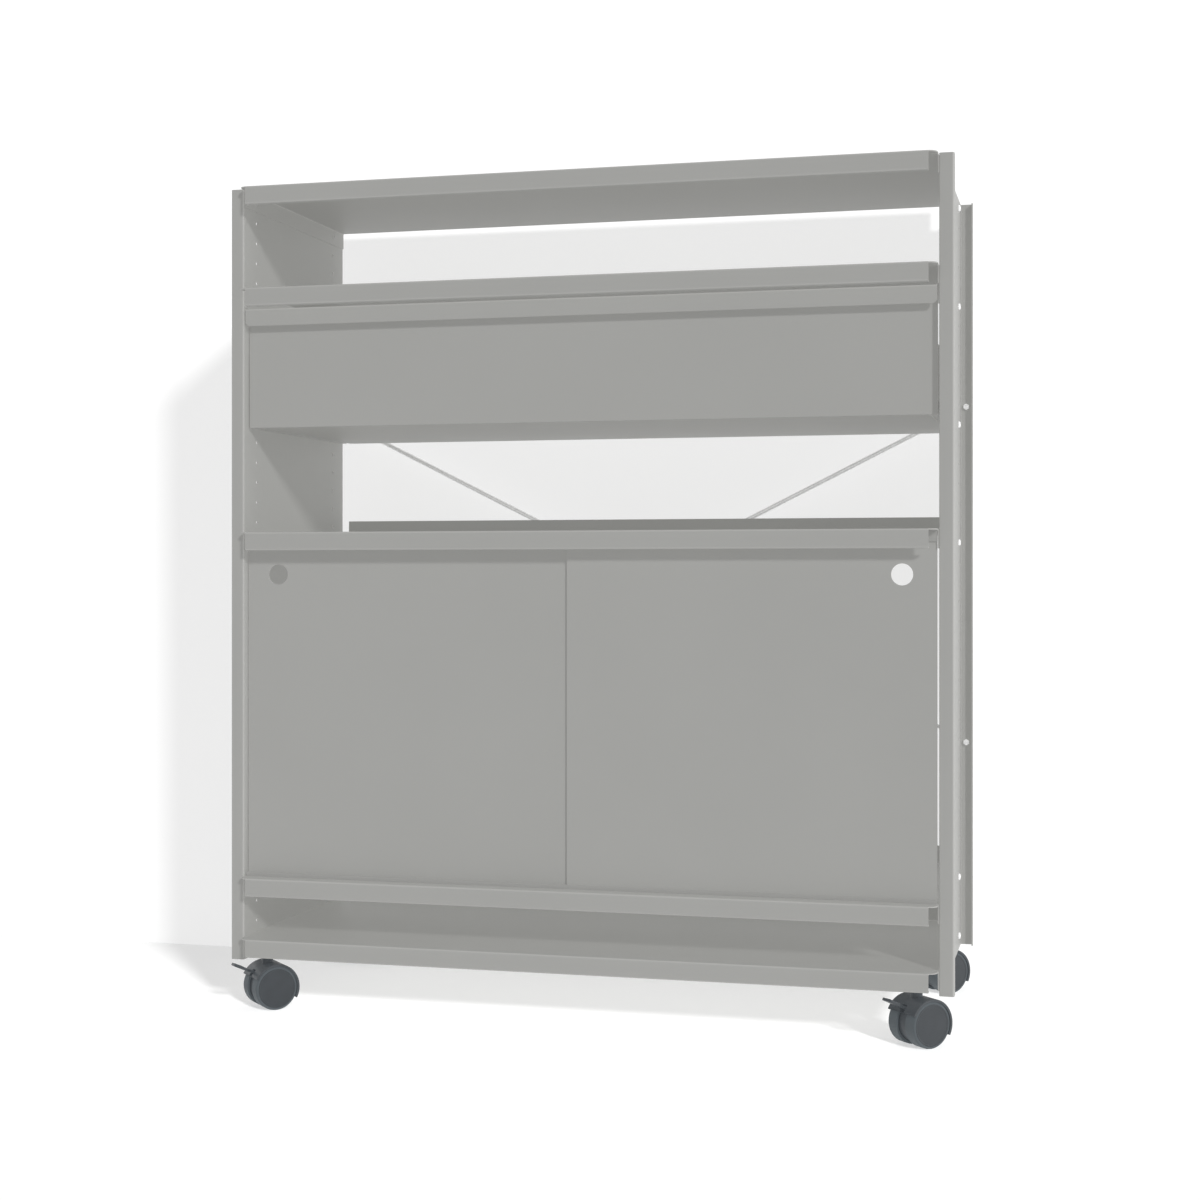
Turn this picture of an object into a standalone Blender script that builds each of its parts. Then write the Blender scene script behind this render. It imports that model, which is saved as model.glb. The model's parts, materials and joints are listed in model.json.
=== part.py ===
"""Mobile aluminium shelving unit with a drawer, sliding doors and castors.

Metres, +Z up, front towards -Y. The origin lies on the floor under the
middle of the unit's overall box.
"""

import math

import bmesh
import bpy
from mathutils import Vector

# Sheet metal
SHEET = 0.0015
BEND_RADIUS = 0.001
FIT_GAP = 0.0003

# Side panels
PANEL_HEIGHT = 1.068
PANEL_DEPTH = 0.366
CLEAR_WIDTH = 0.953
FLANGE_WIDTH = 0.019
LIP_WIDTH = 0.014
HOLE_PITCH = 0.028
HOLE_DIAMETER = 0.0048
HOLE_ROW_INSET = 0.043

# Shelves
SHELF_EDGE = 0.025
SHELF_HEM = 0.010
NOSE_REACH = 0.022
NOSE_END_GAP = 0.0116
NOSE_CORNER_RADIUS = 0.0108
CORNER_RELIEF = 0.005
CORNER_RELIEF_WIDTH = 0.002
END_FLANGE_START = 0.0015
UPSTAND_HEIGHT = 0.025
UPSTAND_END_GAP = 0.010
BOTTOM_EDGE_MARGIN = 0.0025

# Bay heights, each taken to the nearest hole
TOP_BAY = 0.140
DRAWER_BAY = 0.168
UPPER_BAYS = 0.476
BASE_BAY = 0.084

# Drawer
DRAWER_TOP_GAP = 0.0014
DRAWER_SIDE_GAP = 0.0025
DRAWER_RECESS = 0.014
DRAWER_REAR_GAP = 0.006
GRIP_LIP = 0.0236
GRIP_CHAMFER = 0.004
TRAY_SIDE_HEIGHT = 0.105
TRAY_CORNER_SLIT = 0.001
RUNNER_SPACE = 0.013
RAIL_HEIGHT = 0.019
RAIL_LENGTH = 0.335
RAIL_FRONT_INSET = 0.020
RAIL_SHEET = 0.0012
RAIL_OVERHANG = 0.010

# Sliding doors
DOOR_SHEET = 0.0015
DOOR_INSET = 0.005
DOOR_SIDE_GAP = 0.0025
DOOR_OVERLAP = 0.027
GROOVE_CLEARANCE = 0.00055
TRACK_RIB = 0.0024
TRACK_BASE = 0.0012
LOWER_RIB_HEIGHT = 0.0035
UPPER_RIB_HEIGHT = 0.013
DOOR_LIFT_ROOM = 0.007
FINGER_HOLE = 0.028
FINGER_HOLE_INSET = 0.047
FINGER_HOLE_DROP = 0.033

# Rear brace
BRACE_RISE = 0.484
ROD_DIAMETER = 0.008
ROD_BEND_RADIUS = 0.008
ROD_STUB = 0.002
ROD_TIP_DIAMETER = 0.005
ROD_TIP_SHOW = 0.0015
ROD_HOLE_GAP = 0.0005
NUT_ACROSS = 0.008
NUT_HEIGHT = 0.004

# Castors
WHEEL_RADIUS = 0.030
WHEEL_EDGE = 0.003
CASTOR_WIDTH = 0.053
WHEEL_RECESS = 0.0006
CASTOR_WEB = 0.016
WHEEL_SIDE_GAP = 0.0005
HOOD_GAP = 0.0012
HOOD_WALL = 0.002
HOOD_FROM = math.radians(-28)
HOOD_TO = math.radians(153)
WEB_SETBACK = math.radians(4)
WEB_GROUND_CLEARANCE = 0.004
AXLE_DIAMETER = 0.006
PIN_GAP = 0.0003
PIN_EDGE = 0.0004
CASTOR_TRAIL = 0.004
CASTOR_HEADROOM = 0.0038
CASTOR_TURN = math.radians(-45)
CASTOR_SIDE_INSET = 0.0295
CASTOR_DEPTH_INSET = 0.013
STEM_DIAMETER = 0.010
STEM_DEPTH = 0.019
BOSS_DIAMETER = 0.0156
BOSS_HEIGHT = 0.0105
BOSS_SINK = 0.0107
SOCKET_FLANGE_DIAMETER = 0.052
SOCKET_FLANGE = 0.0025
SOCKET_COLLAR = 0.020

# Brake levers
LEVER_PIVOT_FORWARD = 0.011
LEVER_PIVOT_RISE = 0.0165
LEVER_LENGTH = 0.0428
LEVER_TILT = math.radians(24.4)
LEVER_TRAVEL = math.radians(15)
LEVER_THICKNESS = 0.0035
LEVER_NECK = 0.008
LEVER_NECK_LENGTH = 0.0175
LEVER_PADDLE = 0.018
LEVER_CORNER = 0.004
LEVER_HUB_DIAMETER = 0.007
LEVER_PIN_DIAMETER = 0.003
LEVER_SIDE_GAP = 0.0004

# Facets
SMOOTH_ANGLE = math.radians(35)
BEND_STEPS = 3
ROD_BEND_STEPS = 5
ROD_RESOLUTION = 3
NUT_SIDES = 6
HOLE_SIDES = 8
FINGER_HOLE_SIDES = 24
WHEEL_SIDES = 24
SOCKET_SIDES = 14
PIN_SIDES = 12
ARC_STEP = math.radians(11.25)

# Places worked out from the sizes above
RIM = SHEET + BEND_RADIUS
CASTOR_HEIGHT = WHEEL_RADIUS + WHEEL_RADIUS + HOOD_GAP + HOOD_WALL + CASTOR_HEADROOM
HALF_CLEAR = CLEAR_WIDTH / 2
HALF_FLANGE = HALF_CLEAR + FLANGE_WIDTH / 2
HALF_OUTER = HALF_CLEAR + FLANGE_WIDTH
HOOD_RADIUS = WHEEL_RADIUS + HOOD_GAP + HOOD_WALL
DOOR_PITCH = DOOR_SHEET + 2 * GROOVE_CLEARANCE + TRACK_RIB

# Reach of the turned castors, which the middle of the unit's box depends on
TURN_COS = math.cos(CASTOR_TURN)
TURN_SIN = abs(math.sin(CASTOR_TURN))
LEVER_REACH = LEVER_PIVOT_FORWARD + LEVER_LENGTH * math.cos(LEVER_TILT)
FRONT_REACH = ((LEVER_REACH - LEVER_CORNER) * TURN_COS + (LEVER_PADDLE / 2 - LEVER_CORNER) * TURN_SIN
               + LEVER_CORNER - CASTOR_DEPTH_INSET)
REAR_REACH = (CASTOR_TRAIL * TURN_COS + HOOD_RADIUS * TURN_COS
              + CASTOR_WIDTH / 2 * TURN_SIN - CASTOR_DEPTH_INSET)
FRONT_Y = -PANEL_DEPTH / 2 + (FRONT_REACH - REAR_REACH) / 2
REAR_Y = FRONT_Y + PANEL_DEPTH
PANEL_TOP = CASTOR_HEIGHT + PANEL_HEIGHT

# Hole rows and the shelves that hang from them
FIRST_HOLE_Z = PANEL_TOP - SHELF_EDGE / 2
HOLE_RUN = PANEL_HEIGHT - SHELF_EDGE - BOTTOM_EDGE_MARGIN
HOLE_COUNT = int(HOLE_RUN / HOLE_PITCH) + 1


def hole_z(number):
    """Height of a hole, counted from the top."""
    return FIRST_HOLE_Z - number * HOLE_PITCH


def holes_in(distance):
    """Hole pitches nearest to a distance."""
    return round(distance / HOLE_PITCH)


LAST_HOLE = HOLE_COUNT - 1
SHELF_HOLES = {
    "top_shelf": 0,
    "second_shelf": holes_in(TOP_BAY),
    "middle_shelf": holes_in(UPPER_BAYS),
    "lower_shelf": LAST_HOLE - holes_in(BASE_BAY),
    "bottom_shelf": LAST_HOLE,
}
SHELF_TOPS = {name: hole_z(number) + SHELF_EDGE / 2 for name, number in SHELF_HOLES.items()}
RUNNER_Z = hole_z(SHELF_HOLES["second_shelf"] + holes_in(DRAWER_BAY))
DRAWER_BOTTOM = RUNNER_Z - RAIL_HEIGHT / 2
DRAWER_TOP = SHELF_TOPS["second_shelf"] - SHELF_EDGE - DRAWER_TOP_GAP
BRACE_MIDDLE = CASTOR_HEIGHT + PANEL_HEIGHT / 2


# Materials

def painted(name, colour, roughness, metallic):
    """A Principled material with one colour and finish."""
    material = bpy.data.materials.new(name)
    material.use_nodes = True
    shader = material.node_tree.nodes["Principled BSDF"]
    shader.inputs["Base Color"].default_value = (*colour, 1.0)
    shader.inputs["Roughness"].default_value = roughness
    shader.inputs["Metallic"].default_value = metallic
    material.diffuse_color = (*colour, 1.0)
    return material


# Mesh helpers

def mesh_of(name, bm):
    """Turn a finished bmesh into a mesh, faces pointing out."""
    bmesh.ops.recalc_face_normals(bm, faces=bm.faces)
    mesh = bpy.data.meshes.new(name)
    bm.to_mesh(mesh)
    bm.free()
    mesh.shade_smooth()
    mesh.set_sharp_from_angle(angle=SMOOTH_ANGLE)
    return mesh


def place(name, mesh, material=None, parent=None, location=(0, 0, 0)):
    """Add a mesh to the scene as one named object."""
    item = bpy.data.objects.new(name, mesh)
    bpy.context.scene.collection.objects.link(item)
    item.location = location
    item.parent = parent
    if material and not mesh.materials:
        mesh.materials.append(material)
    return item


def holder(name, location, turn=0.0, parent=None):
    """An empty that carries a group of pieces."""
    empty = bpy.data.objects.new(name, None)
    bpy.context.scene.collection.objects.link(empty)
    empty.location = location
    empty.rotation_euler.z = turn
    empty.parent = parent
    return empty


def combine(item, tool, operation):
    """Cut a tool out of an object, or join it on, and hide the tool."""
    tool.hide_render = True
    tool.display_type = "WIRE"
    step = item.modifiers.new(tool.name, "BOOLEAN")
    step.operation = operation
    step.object = tool


def worked_mesh(item, helpers):
    """The mesh of an object after its modifiers; the helpers go."""
    depsgraph = bpy.context.evaluated_depsgraph_get()
    mesh = bpy.data.meshes.new_from_object(item.evaluated_get(depsgraph))
    for used in [item, *helpers]:
        bpy.data.objects.remove(used)
    return mesh


def to_space(axis, along, across):
    """A point of an outline, set at a distance along the extrusion axis."""
    if axis == "X":
        return (along, across[0], across[1])
    if axis == "Y":
        return (across[0], along, across[1])
    return (across[0], across[1], along)


def add_prism(bm, outline, axis, start, end):
    """Extrude a closed outline along X, Y or Z."""
    corners = [bm.verts.new(to_space(axis, start, point)) for point in outline]
    cap = bm.faces.new(corners)
    swept = bmesh.ops.extrude_face_region(bm, geom=[cap])
    far = [item for item in swept["geom"] if isinstance(item, bmesh.types.BMVert)]
    step = Vector(to_space(axis, end, (0, 0))) - Vector(to_space(axis, start, (0, 0)))
    bmesh.ops.translate(bm, verts=far, vec=step)


def prism(name, outline, axis, start, end):
    """A mesh made by extruding one closed outline."""
    bm = bmesh.new()
    add_prism(bm, outline, axis, start, end)
    return mesh_of(name, bm)


def circle(centre, radius, sides):
    """Corners of a polygon drawn round a circle, flat side down."""
    corner = radius / math.cos(math.pi / sides)
    step = 2 * math.pi / sides
    angles = [-math.pi / 2 + step * (index + 0.5) for index in range(sides)]
    return [(centre[0] + corner * math.cos(a), centre[1] + corner * math.sin(a)) for a in angles]


def arc(centre, radius, start, end):
    """Points along an arc in the plane of an outline."""
    steps = max(2, round(abs(end - start) / ARC_STEP))
    angles = [start + (end - start) * index / steps for index in range(steps + 1)]
    return [(centre[0] + radius * math.cos(a), centre[1] + radius * math.sin(a)) for a in angles]


def ray(angle):
    """A unit step in the plane of an outline."""
    return Vector((math.cos(angle), math.sin(angle)))


def turned(name, profile, sides):
    """A solid turned about X from (x, radius) points; radius 0 closes an end."""
    bm = bmesh.new()
    rings = []
    for x, radius in profile:
        if radius == 0:
            rings.append([bm.verts.new((x, 0, 0))])
        else:
            rings.append([bm.verts.new((x, y, z)) for y, z in circle((0, 0), radius, sides)])
    pairs = list(zip(rings, rings[1:]))
    if len(rings[0]) > 1:
        pairs.append((rings[-1], rings[0]))
    for first, second in pairs:
        for index in range(sides):
            following = (index + 1) % sides
            corners = [first[index % len(first)], first[following % len(first)],
                       second[following % len(second)], second[index % len(second)]]
            bm.faces.new(list(dict.fromkeys(corners)))
    return mesh_of(name, bm)


def stood_up(mesh):
    """Turn a mesh made about X so that its X end points up."""
    for vertex in mesh.vertices:
        x, y, z = vertex.co
        vertex.co = (-z, y, x)
    return mesh


# Sheet metal helpers

def offset_corner(before, corner, after, distance):
    """The corner of a path moved to its left by a distance."""
    first = (corner - before).normalized()
    second = (after - corner).normalized()
    left = Vector((-first.y, first.x)) + Vector((-second.y, second.x))
    return corner + left * (2 * distance / left.length_squared)


def folded_outline(path, sheet):
    """Outline of a sheet folded along a path, the material on the path's left."""
    points = [Vector(point) for point in path]
    skin = []
    inside = []
    for index, point in enumerate(points):
        before = points[max(index - 1, 0)]
        after = points[min(index + 1, len(points) - 1)]
        if index in (0, len(points) - 1):
            run = (after - before).normalized()
            skin.append(tuple(point))
            inside.append(tuple(point + Vector((-run.y, run.x)) * sheet))
            continue
        turn = (point - before).cross(after - point)
        first = (point - before).normalized()
        reach = BEND_RADIUS + sheet if turn > 0 else -BEND_RADIUS
        centre = offset_corner(before, point, after, reach)
        start = math.atan2(-first.x, first.y) + (0 if turn > 0 else math.pi)
        sweep = math.copysign((after - point).angle(point - before), turn)
        for step in range(BEND_STEPS + 1):
            angle = start + sweep * step / BEND_STEPS
            skin_radius = BEND_RADIUS + sheet if turn > 0 else BEND_RADIUS
            inside_radius = BEND_RADIUS if turn > 0 else BEND_RADIUS + sheet
            skin.append(tuple(centre + ray(angle) * skin_radius))
            inside.append(tuple(centre + ray(angle) * inside_radius))
    return skin + inside[::-1]


def edge_between(bm, first, second):
    """The edge that joins two corners of a plate."""
    return [bm.edges.get((first, second))]


def bend(bm, edges, centre, axis, angle):
    """Roll an edge of a sheet round a bend and return its new edge."""
    ends = list({vertex for edge in edges for vertex in edge.verts})
    rolled = bmesh.ops.spin(bm, geom=edges + ends, cent=centre, axis=axis,
                            angle=angle, steps=BEND_STEPS, use_duplicate=False)
    return [item for item in rolled["geom_last"] if isinstance(item, bmesh.types.BMEdge)]


def extend(bm, edges, offset, taper=0.0):
    """Run a sheet on from its edge; a taper draws the new corners in along X."""
    grown = bmesh.ops.extrude_edge_only(bm, edges=edges)["geom"]
    corners = [item for item in grown if isinstance(item, bmesh.types.BMVert)]
    bmesh.ops.translate(bm, verts=corners, vec=offset)
    for corner in corners:
        corner.co.x -= math.copysign(taper, corner.co.x)
    return [item for item in grown if isinstance(item, bmesh.types.BMEdge)
            and all(vertex in corners for vertex in item.verts)]


def sheet_object(name, bm, plate, outward, sheet, material, parent=None):
    """Give a folded skin its gauge, away from the outward side."""
    bmesh.ops.recalc_face_normals(bm, faces=bm.faces)
    plate.normal_update()
    if plate.normal.dot(outward) < 0:
        bmesh.ops.reverse_faces(bm, faces=bm.faces)
    mesh = bpy.data.meshes.new(name)
    bm.to_mesh(mesh)
    bm.free()
    mesh.shade_smooth()
    mesh.set_sharp_from_angle(angle=SMOOTH_ANGLE)
    item = place(name, mesh, material, parent)
    gauge = item.modifiers.new("gauge", "SOLIDIFY")
    gauge.thickness = sheet
    gauge.offset = -1
    gauge.use_even_offset = True
    gauge.use_quality_normals = True
    return item


# Side panels

def side_panel(name, side, material):
    """A C-section side: web inwards, flanges and return lips outwards."""
    path = [
        (HALF_OUTER, REAR_Y - LIP_WIDTH),
        (HALF_OUTER, REAR_Y),
        (HALF_CLEAR, REAR_Y),
        (HALF_CLEAR, FRONT_Y),
        (HALF_OUTER, FRONT_Y),
        (HALF_OUTER, FRONT_Y + LIP_WIDTH),
    ]
    outline = [(side * x, y) for x, y in folded_outline(path, SHEET)]
    panel = place(name, prism(name, outline, "Z", CASTOR_HEIGHT, PANEL_TOP), material)

    cutter = bmesh.new()
    web_start = side * (HALF_CLEAR - SHEET)
    web_end = side * (HALF_CLEAR + 2 * SHEET)
    for row_y in (FRONT_Y + HOLE_ROW_INSET, REAR_Y - HOLE_ROW_INSET):
        for number in range(HOLE_COUNT):
            ring = circle((row_y, hole_z(number)), HOLE_DIAMETER / 2, HOLE_SIDES)
            add_prism(cutter, ring, "X", web_start, web_end)
    for rise in (-BRACE_RISE / 2, BRACE_RISE / 2):
        rod_hole = ROD_TIP_DIAMETER / 2 + ROD_HOLE_GAP
        ring = circle((side * HALF_FLANGE, BRACE_MIDDLE + rise), rod_hole, PIN_SIDES)
        add_prism(cutter, ring, "Y", REAR_Y - 2 * SHEET, REAR_Y + SHEET)
    holes = place(name + "_holes", mesh_of(name + "_holes", cutter))
    combine(panel, holes, "DIFFERENCE")


# Shelves

def shelf(name, material):
    """A folded shelf: nose and hem in front, flanges at the ends, rear upstand."""
    top = SHELF_TOPS[name]
    half = HALF_CLEAR - FIT_GAP
    nose_y = FRONT_Y - NOSE_REACH
    nose_bend = nose_y + RIM
    lip_half = HALF_CLEAR - NOSE_END_GAP
    flange_bend = half - RIM
    relief = flange_bend - CORNER_RELIEF
    flange_start = FRONT_Y + END_FLANGE_START
    relief_start = flange_start - CORNER_RELIEF_WIDTH
    upstand_bend = REAR_Y - RIM
    upstand_half = half - UPSTAND_END_GAP
    quarter = math.pi / 2
    nose_corner = []
    for step in range(BEND_STEPS + 1):
        angle = quarter * step / BEND_STEPS
        nose_corner.append((lip_half + NOSE_CORNER_RADIUS * math.sin(angle),
                            nose_bend + NOSE_CORNER_RADIUS * (1 - math.cos(angle))))

    bm = bmesh.new()
    right_side = [
        *nose_corner, (lip_half + NOSE_CORNER_RADIUS, relief_start), (relief, relief_start),
        (relief, flange_start), (flange_bend, flange_start), (flange_bend, upstand_bend),
        (upstand_half, upstand_bend),
    ]
    left_side = [(-x, y) for x, y in reversed(right_side)]
    corners = [bm.verts.new((x, y, top)) for x, y in right_side + left_side]
    plate = bm.faces.new(corners)

    straight = SHELF_EDGE - RIM
    x_axis = (1, 0, 0)
    y_axis = (0, 1, 0)
    rear = len(right_side)

    nose = edge_between(bm, corners[-1], corners[0])
    nose = bend(bm, nose, (0, nose_bend, top - RIM), x_axis, quarter)
    nose = extend(bm, nose, (0, 0, RIM - straight))
    nose = bend(bm, nose, (0, nose_bend, top - straight), x_axis, quarter)
    extend(bm, nose, (0, SHELF_HEM - RIM, 0))

    for first, second, side in ((rear - 3, rear - 2, 1), (rear + 1, rear + 2, -1)):
        end = edge_between(bm, corners[first], corners[second])
        end = bend(bm, end, (side * flange_bend, 0, top - RIM), y_axis, side * quarter)
        extend(bm, end, (0, 0, -straight))

    upstand = edge_between(bm, corners[rear - 1], corners[rear])
    upstand = bend(bm, upstand, (0, upstand_bend, top + BEND_RADIUS), x_axis, quarter)
    extend(bm, upstand, (0, 0, UPSTAND_HEIGHT - BEND_RADIUS))
    sheet_object(name, bm, plate, Vector((0, 0, 1)), SHEET, material)


# Drawer

def drawer_front(slide, material):
    """The drawer's front sheet, its top folded forward and down as a grip."""
    half = HALF_CLEAR - DRAWER_SIDE_GAP
    face_y = FRONT_Y + DRAWER_RECESS
    grip_y = FRONT_Y
    face_top = DRAWER_TOP - RIM
    bm = bmesh.new()
    outline = [(-half, DRAWER_BOTTOM), (half, DRAWER_BOTTOM), (half, face_top), (-half, face_top)]
    corners = [bm.verts.new((x, face_y, z)) for x, z in outline]
    plate = bm.faces.new(corners)
    x_axis = (1, 0, 0)
    quarter = math.pi / 2
    run = edge_between(bm, corners[2], corners[3])
    run = bend(bm, run, (0, face_y - BEND_RADIUS, face_top), x_axis, quarter)
    run = extend(bm, run, (0, grip_y + RIM - (face_y - BEND_RADIUS), 0))
    run = bend(bm, run, (0, grip_y + RIM, face_top), x_axis, quarter)
    run = extend(bm, run, (0, 0, RIM + GRIP_CHAMFER - GRIP_LIP))
    extend(bm, run, (0, 0, -GRIP_CHAMFER), GRIP_CHAMFER)
    sheet_object("drawer_front", bm, plate, Vector((0, -1, 0)), SHEET, material, slide)


def drawer_tray(slide, material):
    """The folded pan behind the drawer front."""
    half = HALF_CLEAR - RUNNER_SPACE
    front = FRONT_Y + DRAWER_RECESS + SHEET + FIT_GAP
    rear = REAR_Y - DRAWER_REAR_GAP
    floor_z = DRAWER_BOTTOM
    wall = TRAY_SIDE_HEIGHT - RIM
    in_x = half - RIM
    in_front = front + RIM
    in_rear = rear - RIM
    slit = TRAY_CORNER_SLIT
    bm = bmesh.new()
    outline = [
        (-in_x + slit, in_front), (in_x - slit, in_front), (in_x - slit, in_front + slit),
        (in_x, in_front + slit), (in_x, in_rear - slit), (in_x - slit, in_rear - slit),
        (in_x - slit, in_rear), (-in_x + slit, in_rear), (-in_x + slit, in_rear - slit),
        (-in_x, in_rear - slit), (-in_x, in_front + slit), (-in_x + slit, in_front + slit),
    ]
    corners = [bm.verts.new((x, y, floor_z)) for x, y in outline]
    plate = bm.faces.new(corners)
    x_axis = (1, 0, 0)
    y_axis = (0, 1, 0)
    quarter = math.pi / 2
    folds = (
        (0, 1, (0, in_front, floor_z + RIM), x_axis, -quarter),
        (3, 4, (in_x, 0, floor_z + RIM), y_axis, -quarter),
        (6, 7, (0, in_rear, floor_z + RIM), x_axis, quarter),
        (9, 10, (-in_x, 0, floor_z + RIM), y_axis, quarter),
    )
    for first, second, centre, axis, angle in folds:
        edge = edge_between(bm, corners[first], corners[second])
        edge = bend(bm, edge, centre, axis, angle)
        extend(bm, edge, (0, 0, wall))
    sheet_object("drawer_tray", bm, plate, Vector((0, 0, -1)), SHEET, material, slide)


def drawer_rails(slide, side, word, steel):
    """The fixed and moving rails of one drawer runner, one inside the other."""
    web = HALF_CLEAR - FIT_GAP
    low = DRAWER_BOTTOM
    high = DRAWER_BOTTOM + RAIL_HEIGHT
    start = FRONT_Y + RAIL_FRONT_INSET
    fixed_path = [(web - RAIL_OVERHANG, low), (web, low), (web, high), (web - RAIL_OVERHANG, high)]
    outline = [(side * x, z) for x, z in folded_outline(fixed_path, RAIL_SHEET)]
    name = "drawer_fixed_rail_" + word
    place(name, prism(name, outline, "Y", start, start + RAIL_LENGTH), steel)

    tray_side = HALF_CLEAR - RUNNER_SPACE + FIT_GAP
    inner_low = low + RAIL_SHEET + FIT_GAP
    inner_high = high - RAIL_SHEET - FIT_GAP
    reach = tray_side + RAIL_OVERHANG - RAIL_SHEET
    moving_path = [(reach, inner_high), (tray_side, inner_high),
                   (tray_side, inner_low), (reach, inner_low)]
    outline = [(side * x, z) for x, z in folded_outline(moving_path, RAIL_SHEET)]
    name = "drawer_moving_rail_" + word
    place(name, prism(name, outline, "Y", start, start + RAIL_LENGTH), steel, slide)


# Sliding doors

def door_tracks(material):
    """Two-groove tracks above and below the doors."""
    groove = DOOR_SHEET + 2 * GROOVE_CLEARANCE
    front = FRONT_Y + DOOR_INSET - GROOVE_CLEARANCE - TRACK_RIB
    half = HALF_CLEAR - RIM - 2 * FIT_GAP

    def comb(base_z, up, rib):
        """Outline of a track: a base with three ribs and two grooves."""
        floor_z = base_z + up * TRACK_BASE
        tip_z = floor_z + up * rib
        points = [(front, base_z)]
        for index in range(3):
            rib_start = front + index * (groove + TRACK_RIB)
            rib_end = rib_start + TRACK_RIB
            if index:
                points.append((rib_start, floor_z))
            points += [(rib_start, tip_z), (rib_end, tip_z)]
            if index < 2:
                points.append((rib_end, floor_z))
        points.append((front + 2 * groove + 3 * TRACK_RIB, base_z))
        return points

    lower = comb(SHELF_TOPS["lower_shelf"] + FIT_GAP, 1, LOWER_RIB_HEIGHT)
    upper = comb(SHELF_TOPS["middle_shelf"] - SHEET - FIT_GAP, -1, UPPER_RIB_HEIGHT)
    place("door_lower_track", prism("door_lower_track", lower, "X", -half, half), material)
    place("door_upper_track", prism("door_upper_track", upper, "X", -half, half), material)


def door(name, side, lane, material):
    """A sliding sheet door with a finger hole near its outer edge."""
    width = (CLEAR_WIDTH + DOOR_OVERLAP) / 2 - DOOR_SIDE_GAP
    outer = HALF_CLEAR - DOOR_SIDE_GAP
    face_y = FRONT_Y + DOOR_INSET + lane * DOOR_PITCH
    low = SHELF_TOPS["lower_shelf"] + 2 * FIT_GAP + TRACK_BASE
    high = SHELF_TOPS["middle_shelf"] - SHEET - FIT_GAP - TRACK_BASE - DOOR_LIFT_ROOM
    outline = [(side * outer, low), (side * outer, high),
               (side * (outer - width), high), (side * (outer - width), low)]
    slide = holder(name + "_slide", (0, face_y, 0))
    leaf = place(name, prism(name, outline, "Y", 0, DOOR_SHEET), material, slide)
    hole_centre = (side * (HALF_CLEAR - FINGER_HOLE_INSET),
                   SHELF_TOPS["middle_shelf"] - SHELF_EDGE - FINGER_HOLE_DROP)
    ring = circle(hole_centre, FINGER_HOLE / 2, FINGER_HOLE_SIDES)
    punch = prism(name + "_punch", ring, "Y", -DOOR_SHEET, 2 * DOOR_SHEET)
    combine(leaf, place(name + "_punch", punch, None, slide), "DIFFERENCE")


# Rear brace

def rounded_run(corner, before, after, radius):
    """Points along the arc that rounds one corner of a rod."""
    to_before = (before - corner).normalized()
    to_after = (after - corner).normalized()
    half_angle = to_before.angle(to_after) / 2
    setback = radius / math.tan(half_angle)
    middle = (to_before + to_after).normalized()
    centre = corner + middle * (radius / math.sin(half_angle))
    start = (corner + to_before * setback - centre).normalized()
    end = (corner + to_after * setback - centre).normalized()
    steps = ROD_BEND_STEPS
    return [centre + start.slerp(end, index / steps) * radius for index in range(steps + 1)]


def brace_rod(name, lean, lane, material):
    """A round rod across the back, hooked forward at both ends, with a tip through each flange."""
    seat_y = REAR_Y + FIT_GAP
    run_y = seat_y + ROD_STUB + ROD_BEND_RADIUS + lane * (ROD_DIAMETER + FIT_GAP)
    high = BRACE_MIDDLE + BRACE_RISE / 2
    low = BRACE_MIDDLE - BRACE_RISE / 2
    start = Vector((lean * HALF_FLANGE, seat_y, high))
    first = Vector((lean * HALF_FLANGE, run_y, high))
    second = Vector((-lean * HALF_FLANGE, run_y, low))
    end = Vector((-lean * HALF_FLANGE, seat_y, low))
    route = [start]
    route += rounded_run(first, start, second, ROD_BEND_RADIUS)
    route += rounded_run(second, first, end, ROD_BEND_RADIUS)
    route.append(end)

    curve = bpy.data.curves.new(name, "CURVE")
    curve.dimensions = "3D"
    curve.bevel_depth = ROD_DIAMETER / 2
    curve.bevel_resolution = ROD_RESOLUTION
    curve.use_fill_caps = True
    spline = curve.splines.new("POLY")
    spline.points.add(len(route) - 1)
    for point, place_on_route in zip(spline.points, route):
        point.co = (*place_on_route, 1.0)
    bar = bpy.data.objects.new(name + "_bar", curve)
    bpy.context.scene.collection.objects.link(bar)
    rod = place(name, worked_mesh(bar, []), material)

    tips = bmesh.new()
    tip_y = nut_y() - ROD_TIP_SHOW
    for corner in (start, end):
        ring = circle((corner.x, corner.z), ROD_TIP_DIAMETER / 2, PIN_SIDES)
        add_prism(tips, ring, "Y", tip_y, seat_y + ROD_STUB / 2)
    combine(rod, place(name + "_tips", mesh_of(name + "_tips", tips)), "UNION")


def nut_y():
    """The front face of a nut on the inside of a rear flange."""
    return REAR_Y - SHEET - FIT_GAP - NUT_HEIGHT


def brace_nuts(material):
    """The nuts that hold the rod tips on the inside of the rear flanges."""
    bore = ROD_TIP_DIAMETER / 2 + FIT_GAP
    outer = NUT_ACROSS / 2
    profile = [(0, bore), (0, outer), (NUT_HEIGHT, outer), (NUT_HEIGHT, bore)]
    for side, word in ((-1, "left"), (1, "right")):
        for rise, level in ((1, "upper"), (-1, "lower")):
            name = f"brace_nut_{level}_{word}"
            nut = turned(name, profile, NUT_SIDES)
            for vertex in nut.vertices:
                x, y, z = vertex.co
                vertex.co = (-y, x, z)
            spot = (side * HALF_FLANGE, nut_y(), BRACE_MIDDLE + rise * BRACE_RISE / 2)
            place(name, nut, material, None, spot)


# Castors

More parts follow.
